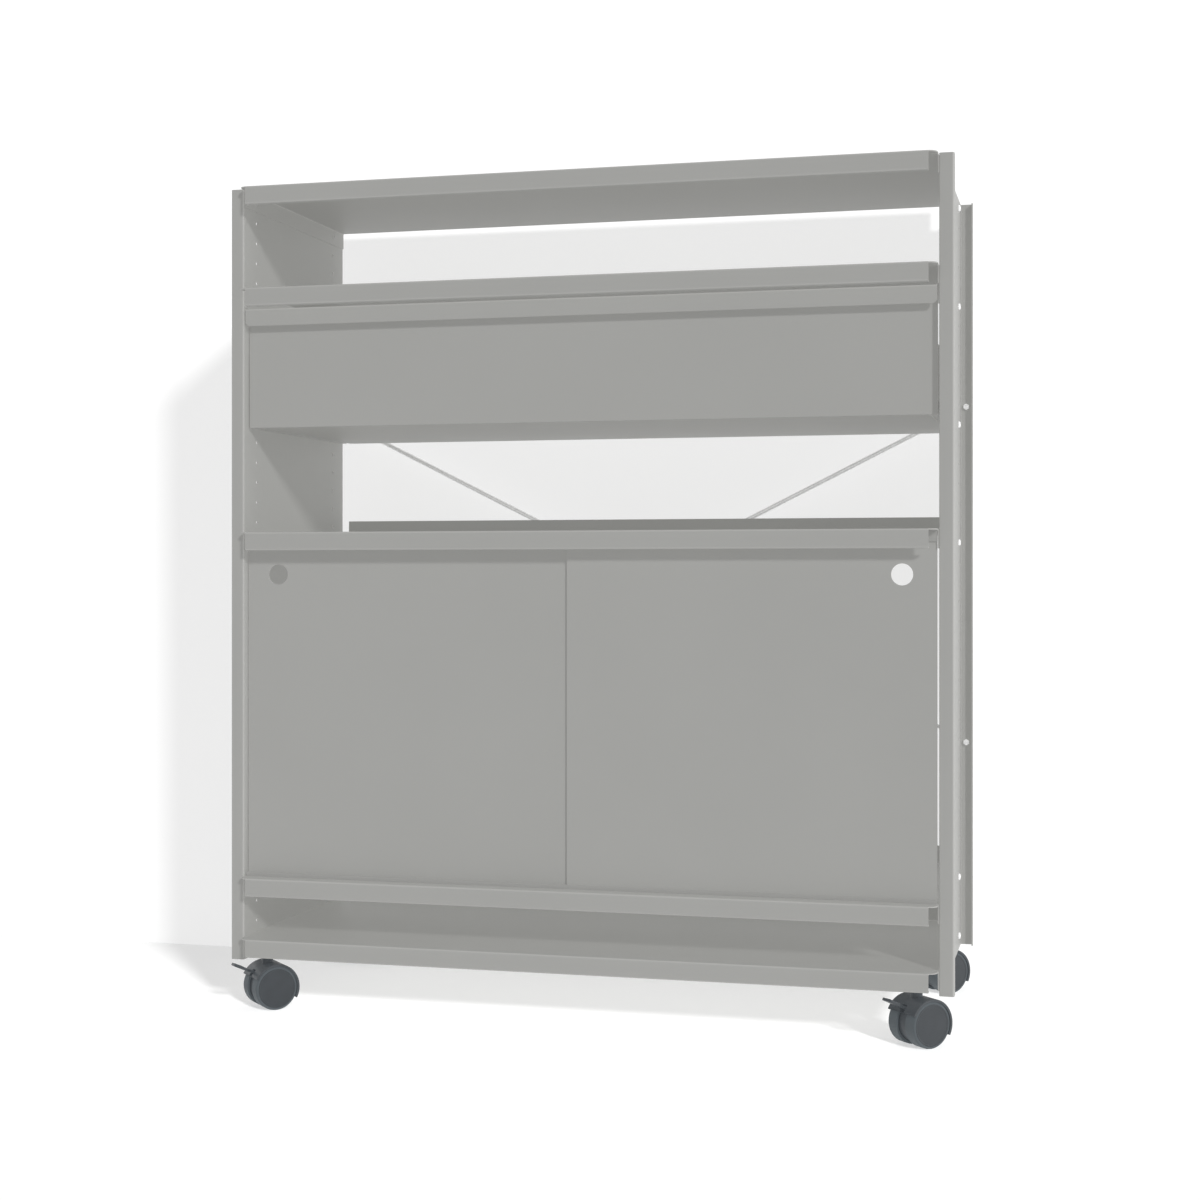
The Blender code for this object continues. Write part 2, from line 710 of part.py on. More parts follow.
def castor_wheel_mesh():
    """One wheel turned about its axle: blind bore inside, smooth disc outside."""
    inner = CASTOR_WEB / 2 + WHEEL_SIDE_GAP
    outer = CASTOR_WIDTH / 2 - WHEEL_RECESS
    bore = AXLE_DIAMETER / 2 + PIN_GAP
    bore_end = axle_half_length() + FIT_GAP
    profile = [
        (bore_end, 0), (bore_end, bore), (inner, bore),
        (inner, WHEEL_RADIUS), (outer - WHEEL_EDGE, WHEEL_RADIUS),
        (outer, WHEEL_RADIUS - WHEEL_EDGE), (outer, 0),
    ]
    return turned("castor_wheel", profile, WHEEL_SIDES)


def axle_half_length():
    """Half the length of a castor axle: it ends inside both wheels."""
    return CASTOR_WIDTH / 2 - WHEEL_RECESS - WHEEL_EDGE - FIT_GAP


def lever_pocket_outline():
    """The wedge in the housing that the lever's neck swings in, about its pin."""
    clearance = LEVER_THICKNESS / 2 + LEVER_SIDE_GAP
    hub = LEVER_HUB_DIAMETER / 2 + LEVER_SIDE_GAP
    reach = LEVER_NECK_LENGTH + LEVER_HUB_DIAMETER
    quarter = math.pi / 2
    up = math.pi - LEVER_TILT
    down = up + LEVER_TRAVEL
    upper_end = ray(up) * reach + ray(up - quarter) * clearance
    lower_end = ray(down) * reach + ray(down + quarter) * clearance
    back = arc((0, 0), hub, down + quarter, up + 3 * quarter)
    return [tuple(upper_end), tuple(lower_end), *back]


def castor_housing_mesh(with_lever):
    """Hood, web and stem boss of a castor, about its axle, moulded in one."""
    middle = (0, 0)
    hood_inner = WHEEL_RADIUS + HOOD_GAP
    web_rim = hood_inner + HOOD_WALL / 2
    web_low = WHEEL_RADIUS - WEB_GROUND_CLEARANCE
    hood = arc(middle, HOOD_RADIUS, HOOD_FROM, HOOD_TO) + arc(middle, hood_inner, HOOD_TO, HOOD_FROM)
    web_from = HOOD_FROM + WEB_SETBACK
    web_to = HOOD_TO - WEB_SETBACK
    web = arc(middle, web_rim, web_from, web_to)
    web += arc(middle, web_low, web_to, web_from + 2 * math.pi)
    boss_low = HOOD_RADIUS - BOSS_SINK
    boss_high = HOOD_RADIUS + BOSS_HEIGHT
    stem_spot = (0, -CASTOR_TRAIL)

    housing = place("housing_hood", prism("hood", hood, "X", -CASTOR_WIDTH / 2, CASTOR_WIDTH / 2))
    web_part = place("housing_web", prism("web", web, "X", -CASTOR_WEB / 2, CASTOR_WEB / 2))
    boss_ring = circle(stem_spot, BOSS_DIAMETER / 2, PIN_SIDES)
    boss = place("housing_boss", prism("boss", boss_ring, "Z", boss_low, boss_high))
    combine(housing, web_part, "UNION")
    combine(housing, boss, "UNION")

    bore_ring = circle(stem_spot, STEM_DIAMETER / 2 + PIN_GAP, PIN_SIDES)
    bore_low = HOOD_RADIUS - STEM_DEPTH - FIT_GAP
    stem_bore = place("stem_bore", prism("stem_bore", bore_ring, "Z", bore_low, boss_high + HOOD_WALL))
    axle_ring = circle(middle, AXLE_DIAMETER / 2 + PIN_GAP, PIN_SIDES)
    axle_bore = place("axle_bore", prism("axle_bore", axle_ring, "X", -CASTOR_WEB, CASTOR_WEB))
    combine(housing, stem_bore, "DIFFERENCE")
    combine(housing, axle_bore, "DIFFERENCE")
    helpers = [web_part, boss, stem_bore, axle_bore]

    if with_lever:
        pivot = lever_pivot()
        half = LEVER_NECK / 2 + LEVER_SIDE_GAP
        pocket_outline = [(pivot.y + y, pivot.z + z) for y, z in lever_pocket_outline()]
        pocket = place("lever_pocket", prism("lever_pocket", pocket_outline, "X", -half, half))
        pin_ring = circle((pivot.y, pivot.z), LEVER_PIN_DIAMETER / 2 + PIN_GAP, PIN_SIDES)
        pin_bore = place("pin_bore", prism("pin_bore", pin_ring, "X", -CASTOR_WEB, CASTOR_WEB))
        combine(housing, pocket, "DIFFERENCE")
        combine(housing, pin_bore, "DIFFERENCE")
        helpers += [pocket, pin_bore]
    return worked_mesh(housing, helpers)


def lever_pivot():
    """The lever's pin, seen from the castor's axle."""
    return Vector((0, -CASTOR_TRAIL - LEVER_PIVOT_FORWARD, LEVER_PIVOT_RISE))


def brake_lever_mesh():
    """The lever about its pin: hub, narrow neck and wide rounded paddle."""
    neck = LEVER_NECK / 2
    paddle = LEVER_PADDLE / 2
    corner = LEVER_CORNER
    tip_centre = -LEVER_LENGTH + corner
    outline = [(neck, 0), (neck, -LEVER_NECK_LENGTH), (paddle, -LEVER_NECK_LENGTH)]
    outline += arc((paddle - corner, tip_centre), corner, 0, -math.pi / 2)
    outline += arc((corner - paddle, tip_centre), corner, -math.pi / 2, -math.pi)
    outline += [(-paddle, -LEVER_NECK_LENGTH), (-neck, -LEVER_NECK_LENGTH), (-neck, 0)]
    half = LEVER_THICKNESS / 2
    lever = place("lever_plate", prism("lever_plate", outline, "Z", -half, half))
    hub_ring = circle((0, 0), LEVER_HUB_DIAMETER / 2, PIN_SIDES)
    hub = place("lever_hub", prism("lever_hub", hub_ring, "X", -neck, neck))
    bore_ring = circle((0, 0), LEVER_PIN_DIAMETER / 2 + PIN_GAP, PIN_SIDES)
    bore = place("lever_bore", prism("lever_bore", bore_ring, "X", -LEVER_NECK, LEVER_NECK))
    combine(lever, hub, "UNION")
    combine(lever, bore, "DIFFERENCE")
    return worked_mesh(lever, [hub, bore])


def pin_mesh(name, half_length, radius):
    """A plain round pin along X with broken edges."""
    shoulder = half_length - PIN_EDGE
    tip = radius - PIN_EDGE
    profile = [(-half_length, 0), (-half_length, tip), (-shoulder, radius),
               (shoulder, radius), (half_length, tip), (half_length, 0)]
    return turned(name, profile, PIN_SIDES)


def castors(plastic, tread, steel):
    """Four twin-wheel castors under the bottom shelf, the front two with brakes."""
    shelf_under = SHELF_TOPS["bottom_shelf"] - SHEET
    socket_top = shelf_under - FIT_GAP
    boss_top = WHEEL_RADIUS + HOOD_RADIUS + BOSS_HEIGHT
    collar_low = boss_top + FIT_GAP
    stem_low = WHEEL_RADIUS + HOOD_RADIUS - STEM_DEPTH
    stem_radius = STEM_DIAMETER / 2
    socket_profile = [
        (collar_low, stem_radius + PIN_GAP), (collar_low, SOCKET_COLLAR / 2),
        (socket_top - SOCKET_FLANGE, SOCKET_COLLAR / 2),
        (socket_top - SOCKET_FLANGE, SOCKET_FLANGE_DIAMETER / 2),
        (socket_top, SOCKET_FLANGE_DIAMETER / 2), (socket_top, stem_radius + PIN_GAP),
    ]
    stem_half = (socket_top - FIT_GAP - stem_low) / 2
    wheel = castor_wheel_mesh()
    axle = pin_mesh("castor_axle", axle_half_length(), AXLE_DIAMETER / 2)
    plain_housing = castor_housing_mesh(False)
    braked_housing = castor_housing_mesh(True)
    lever = brake_lever_mesh()
    lever_pin = pin_mesh("brake_lever_pin", CASTOR_WEB / 2 - FIT_GAP, LEVER_PIN_DIAMETER / 2)

    spots = {
        "front_left": (-1, FRONT_Y + CASTOR_DEPTH_INSET),
        "front_right": (1, FRONT_Y + CASTOR_DEPTH_INSET),
        "rear_left": (-1, REAR_Y - CASTOR_DEPTH_INSET),
        "rear_right": (1, REAR_Y - CASTOR_DEPTH_INSET),
    }
    for corner, (side, y) in spots.items():
        x = side * (HALF_CLEAR - CASTOR_SIDE_INSET)
        name = corner + "_castor_"
        socket = stood_up(turned(name + "socket", socket_profile, SOCKET_SIDES))
        place(name + "socket", socket, steel, None, (x, y, 0))
        stem = stood_up(pin_mesh(name + "stem", stem_half, stem_radius))
        place(name + "stem", stem, steel, None, (x, y, stem_low + stem_half))

        swivel = holder(name + "swivel", (x, y, 0), CASTOR_TURN)
        hub = holder(name + "hub", (0, CASTOR_TRAIL, WHEEL_RADIUS), 0.0, swivel)
        braked = corner.startswith("front")
        place(name + "housing", braked_housing if braked else plain_housing, plastic, hub)
        place(name + "axle", axle, steel, hub)
        place(name + "wheel_a", wheel, tread, hub)
        far_wheel = place(name + "wheel_b", wheel, tread, hub)
        far_wheel.rotation_euler.z = math.pi
        if braked:
            place(name + "lever_pin", lever_pin, steel, hub, lever_pivot())
            arm = place(name + "brake_lever", lever, plastic, hub, lever_pivot())
            arm.rotation_euler.x = -LEVER_TILT


def main():
    """Clear the scene and build every piece."""
    for item in list(bpy.data.objects):
        bpy.data.objects.remove(item)
    aluminium = painted("powder_coated_aluminium", (0.36, 0.36, 0.35), 0.5, 0.3)
    zinc = painted("zinc_plated_steel", (0.62, 0.63, 0.64), 0.35, 0.9)
    track = painted("track_plastic", (0.33, 0.33, 0.32), 0.55, 0.0)
    castor_plastic = painted("castor_plastic", (0.08, 0.095, 0.105), 0.45, 0.0)
    castor_tread = painted("castor_tread", (0.075, 0.085, 0.095), 0.6, 0.0)

    side_panel("side_panel_left", -1, aluminium)
    side_panel("side_panel_right", 1, aluminium)
    for name in SHELF_TOPS:
        shelf(name, aluminium)

    slide = holder("drawer_slide", (0, 0, 0))
    drawer_front(slide, aluminium)
    drawer_tray(slide, aluminium)
    for side, word in ((-1, "left"), (1, "right")):
        drawer_rails(slide, side, word, zinc)

    door_tracks(track)
    door("door_right", 1, 0, aluminium)
    door("door_left", -1, 1, aluminium)

    brace_rod("brace_rod_rising_right", 1, 0, zinc)
    brace_rod("brace_rod_rising_left", -1, 1, zinc)
    brace_nuts(zinc)
    castors(castor_plastic, castor_tread, zinc)


main()
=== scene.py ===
"""Looks of a mobile shelving unit made of folded aluminium sheet.

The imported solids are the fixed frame. Each operator models one piece, or one
group of like pieces, and sets it on the body that carries it. Metres, +Z up,
the unit's front towards -Y.
"""

import json
import math

import bmesh
import bpy
from bpy.props import FloatProperty, FloatVectorProperty, IntProperty, PointerProperty
from mathutils import Matrix, Vector

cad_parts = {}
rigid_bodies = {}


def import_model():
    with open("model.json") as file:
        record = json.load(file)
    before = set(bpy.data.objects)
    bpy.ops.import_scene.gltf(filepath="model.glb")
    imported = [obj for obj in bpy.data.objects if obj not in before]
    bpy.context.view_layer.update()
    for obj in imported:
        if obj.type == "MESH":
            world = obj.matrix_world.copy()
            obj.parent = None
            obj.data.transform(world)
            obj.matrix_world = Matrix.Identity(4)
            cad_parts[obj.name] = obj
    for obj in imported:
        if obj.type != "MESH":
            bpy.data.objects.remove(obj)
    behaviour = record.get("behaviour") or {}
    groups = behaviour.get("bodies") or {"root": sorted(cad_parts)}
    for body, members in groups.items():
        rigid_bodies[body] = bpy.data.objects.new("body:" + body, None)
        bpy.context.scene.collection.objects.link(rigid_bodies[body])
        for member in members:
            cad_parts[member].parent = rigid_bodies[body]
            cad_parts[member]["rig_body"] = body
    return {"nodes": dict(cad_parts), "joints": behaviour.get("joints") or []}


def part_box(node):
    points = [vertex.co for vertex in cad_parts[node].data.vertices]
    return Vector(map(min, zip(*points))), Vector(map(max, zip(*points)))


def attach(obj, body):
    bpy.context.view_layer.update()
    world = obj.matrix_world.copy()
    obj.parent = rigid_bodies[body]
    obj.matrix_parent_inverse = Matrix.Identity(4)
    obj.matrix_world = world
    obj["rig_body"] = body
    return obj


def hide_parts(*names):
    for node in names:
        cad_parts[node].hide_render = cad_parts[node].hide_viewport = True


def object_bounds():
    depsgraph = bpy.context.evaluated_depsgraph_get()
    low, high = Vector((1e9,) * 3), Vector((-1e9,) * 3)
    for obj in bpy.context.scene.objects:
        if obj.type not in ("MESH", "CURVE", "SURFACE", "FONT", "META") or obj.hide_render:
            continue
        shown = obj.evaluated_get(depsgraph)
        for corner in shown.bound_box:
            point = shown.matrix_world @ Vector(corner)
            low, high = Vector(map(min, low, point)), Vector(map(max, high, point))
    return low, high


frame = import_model()
CAD_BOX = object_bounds()

bl_info = {
    "name": "Mobile Shelving Unit",
    "version": (1, 0, 0),
    "blender": (4, 5, 0),
    "location": "View3D > Sidebar > Shelving",
    "description": "Finishes and fine pieces of a folded-sheet shelving unit on castors",
    "category": "Object",
}

# CAD pieces

SHELVES = ("top_shelf", "second_shelf", "middle_shelf", "lower_shelf", "bottom_shelf")
SHEETS = ("side_panel_left", "side_panel_right", *SHELVES, "drawer_front", "drawer_tray")
TRACKS = ("door_lower_track", "door_upper_track")
RAILS = ("drawer_fixed_rail_left", "drawer_fixed_rail_right",
         "drawer_moving_rail_left", "drawer_moving_rail_right")
SIDES = {"left": -1, "right": 1}
CORNERS = ("front_left", "front_right", "rear_left", "rear_right")
BRAKED_CORNERS = ("front_left", "front_right")

# Directions, and turns that lay a cylinder along an axis

X_AXIS = Vector((1, 0, 0))
Y_AXIS = Vector((0, 1, 0))
Z_AXIS = Vector((0, 0, 1))
QUARTER = math.pi / 2
ALONG_X = (0, QUARTER, 0)
ALONG_Y = (QUARTER, 0, 0)

# Limits and steps of the modelling

TINY = 1e-5                           # slack in tests of place
WELD = 1e-6                           # points this close become one
MOULD_WELD = 5e-5                     # the same on mouldings
CAD_FLAT = math.radians(0.5)          # faces this flat to each other become one
MOULD_FLAT = math.radians(1)          # the same on mouldings
SMOOTH_BELOW = math.radians(38)       # edges shaded as round
SOFTEN_ABOVE = math.radians(40)       # edges rounded over
SAME_WAY = 0.99                       # least cosine of faces that point one way
SPIN_STEP = math.radians(2.5)         # step of a castor's spun sections
BEND_STEPS = 10                       # steps of a rod's bend
THROUGH = 3                           # length of a punch or drill in thicknesses
SORT_FROM = (0.137, 0.291, 0.473)     # on no plane of symmetry, so distances differ

# The part of a pattern's range that drives tone and gloss

PATTERN_LOW = 0.3
PATTERN_HIGH = 0.7

# Stage: size of the floor and wall, white, each fill light's direction and share

STAGE_SIZE = 14
WHITE = (1, 1, 1, 1)
FILL_FROM = {"front": (-Y_AXIS, 0.90), "back": (Y_AXIS, 1.0), "left": (-X_AXIS, 0.80),
             "right": (X_AXIS, 1.07), "above": (Z_AXIS, 1.15), "below": (-Z_AXIS, 0.8)}


# Settings that a user would change

def number(name, description, default, **kind):
    """A number, plain unless its kind is given."""
    return FloatProperty(name=name, description=description, default=default, **kind)


def length(name, description, default):
    """A size in metres."""
    return number(name, description, default, unit="LENGTH", precision=5)


def angle(name, description, degrees):
    """An angle, given in degrees."""
    return number(name, description, math.radians(degrees), subtype="ANGLE")


def share(name, description, default):
    """A number from nothing to all."""
    return number(name, description, default, min=0.0, max=1.0, subtype="FACTOR")


def colour(name, description, default):
    """A linear colour."""
    return FloatVectorProperty(name=name, description=description, default=default,
                               size=3, min=0.0, max=1.0, subtype="COLOR")


class ShelvingFinishes(bpy.types.PropertyGroup):
    """Colours and gloss of the finishes"""

    coat: colour("Powder Coat", "Grey of the coated sheet", (0.362, 0.362, 0.350))
    coat_roughness: share("Coat Roughness", "Roughness of the coated sheet", 0.52)
    zinc: colour("Zinc", "Plated rods, screws and nuts", (0.97, 0.97, 0.97))
    zinc_roughness: share("Zinc Roughness", "Roughness of the plating", 0.36)
    dull_zinc: colour("Dull Zinc", "Passivated runners and inserts", (0.37, 0.37, 0.36))
    dull_roughness: share("Dull Zinc Roughness", "Roughness of the passivated zinc", 0.48)
    track: colour("Track", "Extruded door tracks", (0.33, 0.33, 0.32))
    track_roughness: share("Track Roughness", "Roughness of the door tracks", 0.5)
    # One castor plastic in two tones: the housing copy is lighter, as painted light on the shaded
    # hoods, and the disc copy is darker, as painted shade against the stronger light on the disc
    # faces.
    castor: colour("Castor Plastic", "Moulded castor housings and levers", (0.055, 0.061, 0.067))
    disc: colour("Castor Disc", "Moulded wheel discs", (0.043, 0.048, 0.053))
    castor_roughness: share("Castor Roughness", "Roughness of the castor plastic", 0.40)
    tread: colour("Castor Tread", "Wheel treads", (0.044, 0.049, 0.053))
    tread_roughness: share("Tread Roughness", "Roughness of the treads", 0.55)


class ShelvingSheet(bpy.types.PropertyGroup):
    """Sizes of the folded sheets"""

    edge: length("Sheet Edge", "Rounding of the cut sheet edges", 0.0003)
    gauge: length("Gauge", "Thickness of the sheet", 0.0015)
    flange: length("Side Flange", "Depth of the side sections across the unit", 0.019)
    hole_inset: length("Hole Row Inset", "Hole rows from the front and rear faces", 0.043)
    finger_hole: length("Finger Hole", "Diameter of a door's finger hole", 0.028)
    finger_inset: length("Finger Hole Inset", "Finger hole from the door's outer edge", 0.0445)
    finger_drop: length("Finger Hole Drop", "Finger hole below the door's top edge", 0.048)


class ShelvingFixings(bpy.types.PropertyGroup):
    """Sizes of screws, rivets and nuts"""

    head: length("Screw Head", "Diameter of a button head", 0.0095)
    head_height: length("Screw Head Height", "Height of a button head", 0.0027)
    key: length("Key Size", "Hex socket across flats", 0.0032)
    shank: length("Shank", "Diameter of a screw below its head", 0.0044)
    insert: length("Insert", "Flange diameter of a threaded insert", 0.0090)
    insert_height: length("Insert Height", "Height of an insert's flange", 0.0010)
    rivet: length("Rivet", "Diameter of a rivet head", 0.0065)
    rivet_height: length("Rivet Height", "Height of a rivet head", 0.0013)
    nut: length("Nut", "Brace nut across flats", 0.0080)
    nut_height: length("Nut Height", "Height of a brace nut", 0.0040)


class ShelvingBrace(bpy.types.PropertyGroup):
    """Sizes of the rear brace"""

    rod: length("Rod", "Diameter of a brace rod", 0.008)
    bend: length("Bend", "Radius of a rod's bends", 0.008)
    seat_gap: length("Seat Gap", "Rod shoulder behind the rear flange", 0.0003)
    tip: length("Tip", "Diameter of a rod's threaded tip", 0.005)
    tip_length: length("Tip Length", "How far a tip stands out of its rod", 0.0076)
    pitch: length("Thread Pitch", "Pitch of the threaded tips", 0.0008)


class ShelvingCastor(bpy.types.PropertyGroup):
    """Sizes of the twin-wheel castors"""

    wheel: length("Wheel", "Radius of a wheel", 0.030)
    tyre: length("Tyre", "Depth of a tyre", 0.0033)
    shoulder: length("Shoulder", "Rounding of a tyre's outer edge", 0.0028)
    width: length("Width", "Width of a castor over its hood", 0.053)
    recess: length("Recess", "Disc face behind the hood's side", 0.0006)
    web: length("Web", "Thickness of the web between the wheels", 0.016)
    web_radius: length("Web Radius", "Radius of the web below the hood", 0.026)
    play: length("Play", "Wheel from the web", 0.0005)
    hood_gap: length("Hood Gap", "Hood from the wheels", 0.0012)
    hood_wall: length("Hood Wall", "Thickness of the hood", 0.002)
    hood_rim: length("Hood Rim", "Rim at the hood's sides", 0.0014)
    hood_from: angle("Hood From", "Rear end of the hood, from level", -28)
    hood_to: angle("Hood To", "Front end of the hood, from level", 153)
    web_setback: angle("Web Setback", "Web short of the hood's ends", 4)
    trail: length("Trail", "Axle behind the stem", 0.004)
    boss: length("Boss", "Diameter of the stem boss", 0.0156)
    boss_height: length("Boss Height", "Stem boss above the hood", 0.0105)
    lever_tilt: angle("Lever Tilt", "Slope of the raised brake lever", 24.4)
    lever_travel: angle("Lever Travel", "Swing of the brake lever", 15)
    lever_length: length("Lever Length", "Brake lever from its pin to its tip", 0.0428)
    lever_neck: length("Lever Neck", "Width of the lever's neck", 0.008)
    lever_neck_length: length("Lever Neck Length", "Pin to the start of the paddle", 0.0175)
    lever_paddle: length("Lever Paddle", "Width of the lever's paddle", 0.018)
    lever_corner: length("Lever Corner", "Rounding of the paddle's corners", 0.004)
    lever_thickness: length("Lever Thickness", "Thickness of the lever", 0.0035)
    lever_hub: length("Lever Hub", "Diameter of the lever's hub", 0.007)
    lever_slot: length("Lever Slot", "Height of the lever's slot in the hood", 0.010)
    slot_gap: length("Slot Gap", "Lever from the sides of its slot", 0.0004)
    pin_hole: length("Pin Hole", "Bore of the lever's hub", 0.0036)
    pin_forward: length("Pin Forward", "Lever pin in front of the stem", 0.011)
    pin_rise: length("Pin Rise", "Lever pin above the axle", 0.0165)
    rib: length("Rib", "Width of a grip rib", 0.0011)
    ribs: IntProperty(name="Ribs", description="Grip ribs on a lever", default=5, min=1)
    socket_flange: length("Socket Flange", "Thickness of a socket's flange", 0.0025)
    edge: length("Moulded Edge", "Rounding of moulded edges", 0.0004)
    sides: IntProperty(name="Sides", description="Facets round a wheel", default=96, min=24)


class ShelvingStudio(bpy.types.PropertyGroup):
    """Camera, light and backdrop"""

    camera: FloatVectorProperty(name="Camera", description="Where the camera stands",
                                default=(0.680, -2.6985, 0.601), subtype="TRANSLATION")
    yaw: angle("Yaw", "Turn of the level camera to the left", 14.43)
    lens: number("Lens", "Focal length on a 36 mm sensor, in mm", 58.89)
    horizon: number("Horizon", "Vertical shift of the frame", -0.0213)
    key_from: FloatVectorProperty(name="Key From", description="Direction to the key light",
                                  default=(0.785, -1.0, 0.585), subtype="DIRECTION")
    key: number("Key", "Key light on all", 1.1)
    stage_key: number("Stage Key", "More key light on the stage alone", 1.28)
    fill: number("Fill", "Shadowless light from each side", 1.30)
    key_size: angle("Key Size", "Spread of the key and side lights", 6.5)
    side: number("Side Light", "Strength of the light on the right", 0.65)
    ambient: number("Ambient", "Light from all round", 0.18)
    wall_gap: length("Wall Gap", "Wall behind the unit", 0.012)
    bounce: share("Bounce", "Grey of the floor and wall as the unit sees them", 0.5)
    floor_white: share("Floor White", "White of the floor that shade dims", 1.0)
    floor_glow: share("Floor Glow", "White of the floor that shade can't dim", 0.04)
    wall_white: share("Wall White", "White of the wall that shade dims", 0.5)
    wall_glow: share("Wall Glow", "White of the wall that shade can't dim", 0.50)


# Selection and modelling helpers

def select_only(item):
    """Leave one object selected and active."""
    bpy.ops.object.select_all(action="DESELECT")
    item.select_set(True)
    bpy.context.view_layer.objects.active = item


def new_primitive(add, scale=(1, 1, 1), **settings):
    """Add a primitive and put its size and place into its mesh."""
    bpy.ops.object.select_all(action="DESELECT")
    add(**settings)
    bpy.context.object.scale = scale
    bpy.ops.object.transform_apply(location=True, rotation=True, scale=True)
    return bpy.context.object


def block(size, middle, turn=(0, 0, 0)):
    """A plain block to start from or to cut with."""
    return new_primitive(bpy.ops.mesh.primitive_cube_add, scale=size, size=1, location=middle,
                         rotation=turn)


def cylinder(sides, radius, depth, middle=(0, 0, 0), turn=(0, 0, 0)):
    """A plain cylinder to start from or to cut with."""
    return new_primitive(bpy.ops.mesh.primitive_cylinder_add, vertices=sides, radius=radius,
                         depth=depth, location=middle, rotation=turn)


def edit(item, action="DESELECT"):
    """Open a mesh for editing with nothing selected, or with all of it."""
    select_only(item)
    bpy.ops.object.mode_set(mode="EDIT")
    bpy.ops.mesh.select_all(action=action)


def close_edit():
    """Back to object mode."""
    bpy.ops.object.mode_set(mode="OBJECT")


def pick(item, kind, test):
    """In edit mode, select only the faces, edges or corners that pass a test."""
    bpy.ops.mesh.select_mode(type=kind)
    bpy.ops.mesh.select_all(action="DESELECT")
    shape = bmesh.from_edit_mesh(item.data)
    parts = {"FACE": shape.faces, "EDGE": shape.edges, "VERT": shape.verts}
    for part in parts[kind]:
        if test(part):
            part.select_set(True)
    bmesh.update_edit_mesh(item.data)


def pick_side(item, direction):
    """In edit mode, select only the faces that point in a direction."""
    pick(item, "FACE", lambda face: face.normal.dot(direction) > SAME_WAY)


def middle_of(edge):
    """The midpoint of an edge."""
    return (edge.verts[0].co + edge.verts[1].co) / 2


def move(offset):
    """Move what is selected in edit mode."""
    bpy.ops.transform.translate(value=offset)


def extrude(offset):
    """Extrude what is selected in edit mode."""
    bpy.ops.mesh.extrude_region_move(TRANSFORM_OT_translate={"value": offset})


def apply_modifier(item, kind, **settings):
    """Add a modifier, set it up and apply it."""
    select_only(item)
    bpy.ops.object.modifier_add(type=kind)
    step = item.modifiers[-1]
    for key, value in settings.items():
        setattr(step, key, value)
    bpy.ops.object.modifier_apply(modifier=step.name)


def discard(*models):
    """Remove models that are no longer needed."""
    for model in models:
        bpy.data.objects.remove(model)


def combine(item, tool, operation, solver="EXACT"):
    """Cut a tool out of a piece, or join it on; the tool goes."""
    apply_modifier(item, "BOOLEAN", object=tool, operation=operation, solver=solver)
    discard(tool)


def smooth(item):
    """Shade round forms smooth and keep flat faces flat."""
    select_only(item)
    bpy.ops.object.shade_smooth_by_angle(angle=SMOOTH_BELOW)
    apply_modifier(item, "WEIGHTED_NORMAL", keep_sharp=True)


def soften(item, width, clamp=True):
    """Round every sharp edge over."""
    apply_modifier(item, "BEVEL", width=width, segments=2, limit_method="ANGLE",
                   angle_limit=SOFTEN_ABOVE, use_clamp_overlap=clamp)
    smooth(item)


def tidy_mesh(item, weld=WELD, flat=None, outwards=True):
    """Weld a mesh, merge its flat faces if asked to, point its faces outwards unless told not to."""
    edit(item, "SELECT")
    bpy.ops.mesh.remove_doubles(threshold=weld)
    if flat:
        bpy.ops.mesh.dissolve_limited(angle_limit=flat)
    if outwards:
        bpy.ops.mesh.normals_make_consistent(inside=False)
    close_edit()


def put_in_order(item):
    """Sort a joined mesh by distance from one point, so that it welds alike on each run."""
    edit(item, "SELECT")
    cursor = bpy.context.scene.cursor
    cursor.location = SORT_FROM
    bpy.ops.mesh.sort_elements(type="CURSOR_DISTANCE", elements={"VERT", "EDGE", "FACE"})
    cursor.location = (0, 0, 0)
    close_edit()


def facing(direction, place):
    """A matrix that turns a model's +Z to a direction and sets it at a place."""
    turn = Vector(direction).to_track_quat("Z", "Y").to_matrix().to_4x4()
    return Matrix.Translation(place) @ turn


def copy_at(model, name, matrix):
    """A copy of a modelled piece with its own mesh, its place in the mesh."""
    select_only(model)
    bpy.ops.object.duplicate()
    piece = bpy.context.object
    piece.matrix_world = matrix
    bpy.ops.object.transform_apply(location=True, rotation=True, scale=True)
    piece.name = name
    return piece


def softened_copy(node, name, width):
    """A copy of a CAD piece, welded, with its sharp edges rounded over."""
    select_only(frame["nodes"][node])
    bpy.ops.object.duplicate()
    piece = bpy.context.object
    piece.name = name
    piece.parent = None
    for mark in list(piece.keys()):
        del piece[mark]
    bpy.ops.mesh.customdata_custom_splitnormals_clear()
    tidy_mesh(piece, flat=CAD_FLAT, outwards=False)
    soften(piece, width)
    return piece


def dress(piece, material, node, stands_in=True):
    """Coat a piece and set it on a CAD node's body; it stands in for the node or joins it."""
    piece.data.materials.clear()
    piece.data.materials.append(material)
    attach(piece, frame["nodes"][node]["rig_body"])
    if stands_in:
        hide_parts(node)


def dress_copies(context, nodes, ending, material):
    """Softened copies of CAD pieces that stand in for them, all with one finish."""
    for node in nodes:
        piece = softened_copy(node, node + ending, context.scene.shelving_sheet.edge)
        dress(piece, material, node)


def fasten(model, name, direction, spots, zinc, node):
    """Copies of a fixing at some spots, all facing one way, as one piece on a node's body."""
    pieces = [copy_at(model, name, facing(direction, spot)) for spot in spots]
    bpy.ops.object.select_all(action="DESELECT")
    for piece in pieces:
        piece.select_set(True)
    bpy.context.view_layer.objects.active = pieces[0]
    bpy.ops.object.join()
    pieces[0].name = name
    dress(pieces[0], zinc, node, stands_in=False)


def coat_node(node, material):
    """Give a CAD node that stays in view its finish."""
    surfaces = frame["nodes"][node].data.materials
    surfaces.clear()
    surfaces.append(material)


def joint(name):
    """A joint of the frame, by name."""
    return next(entry for entry in frame["joints"] if entry["name"] == name)


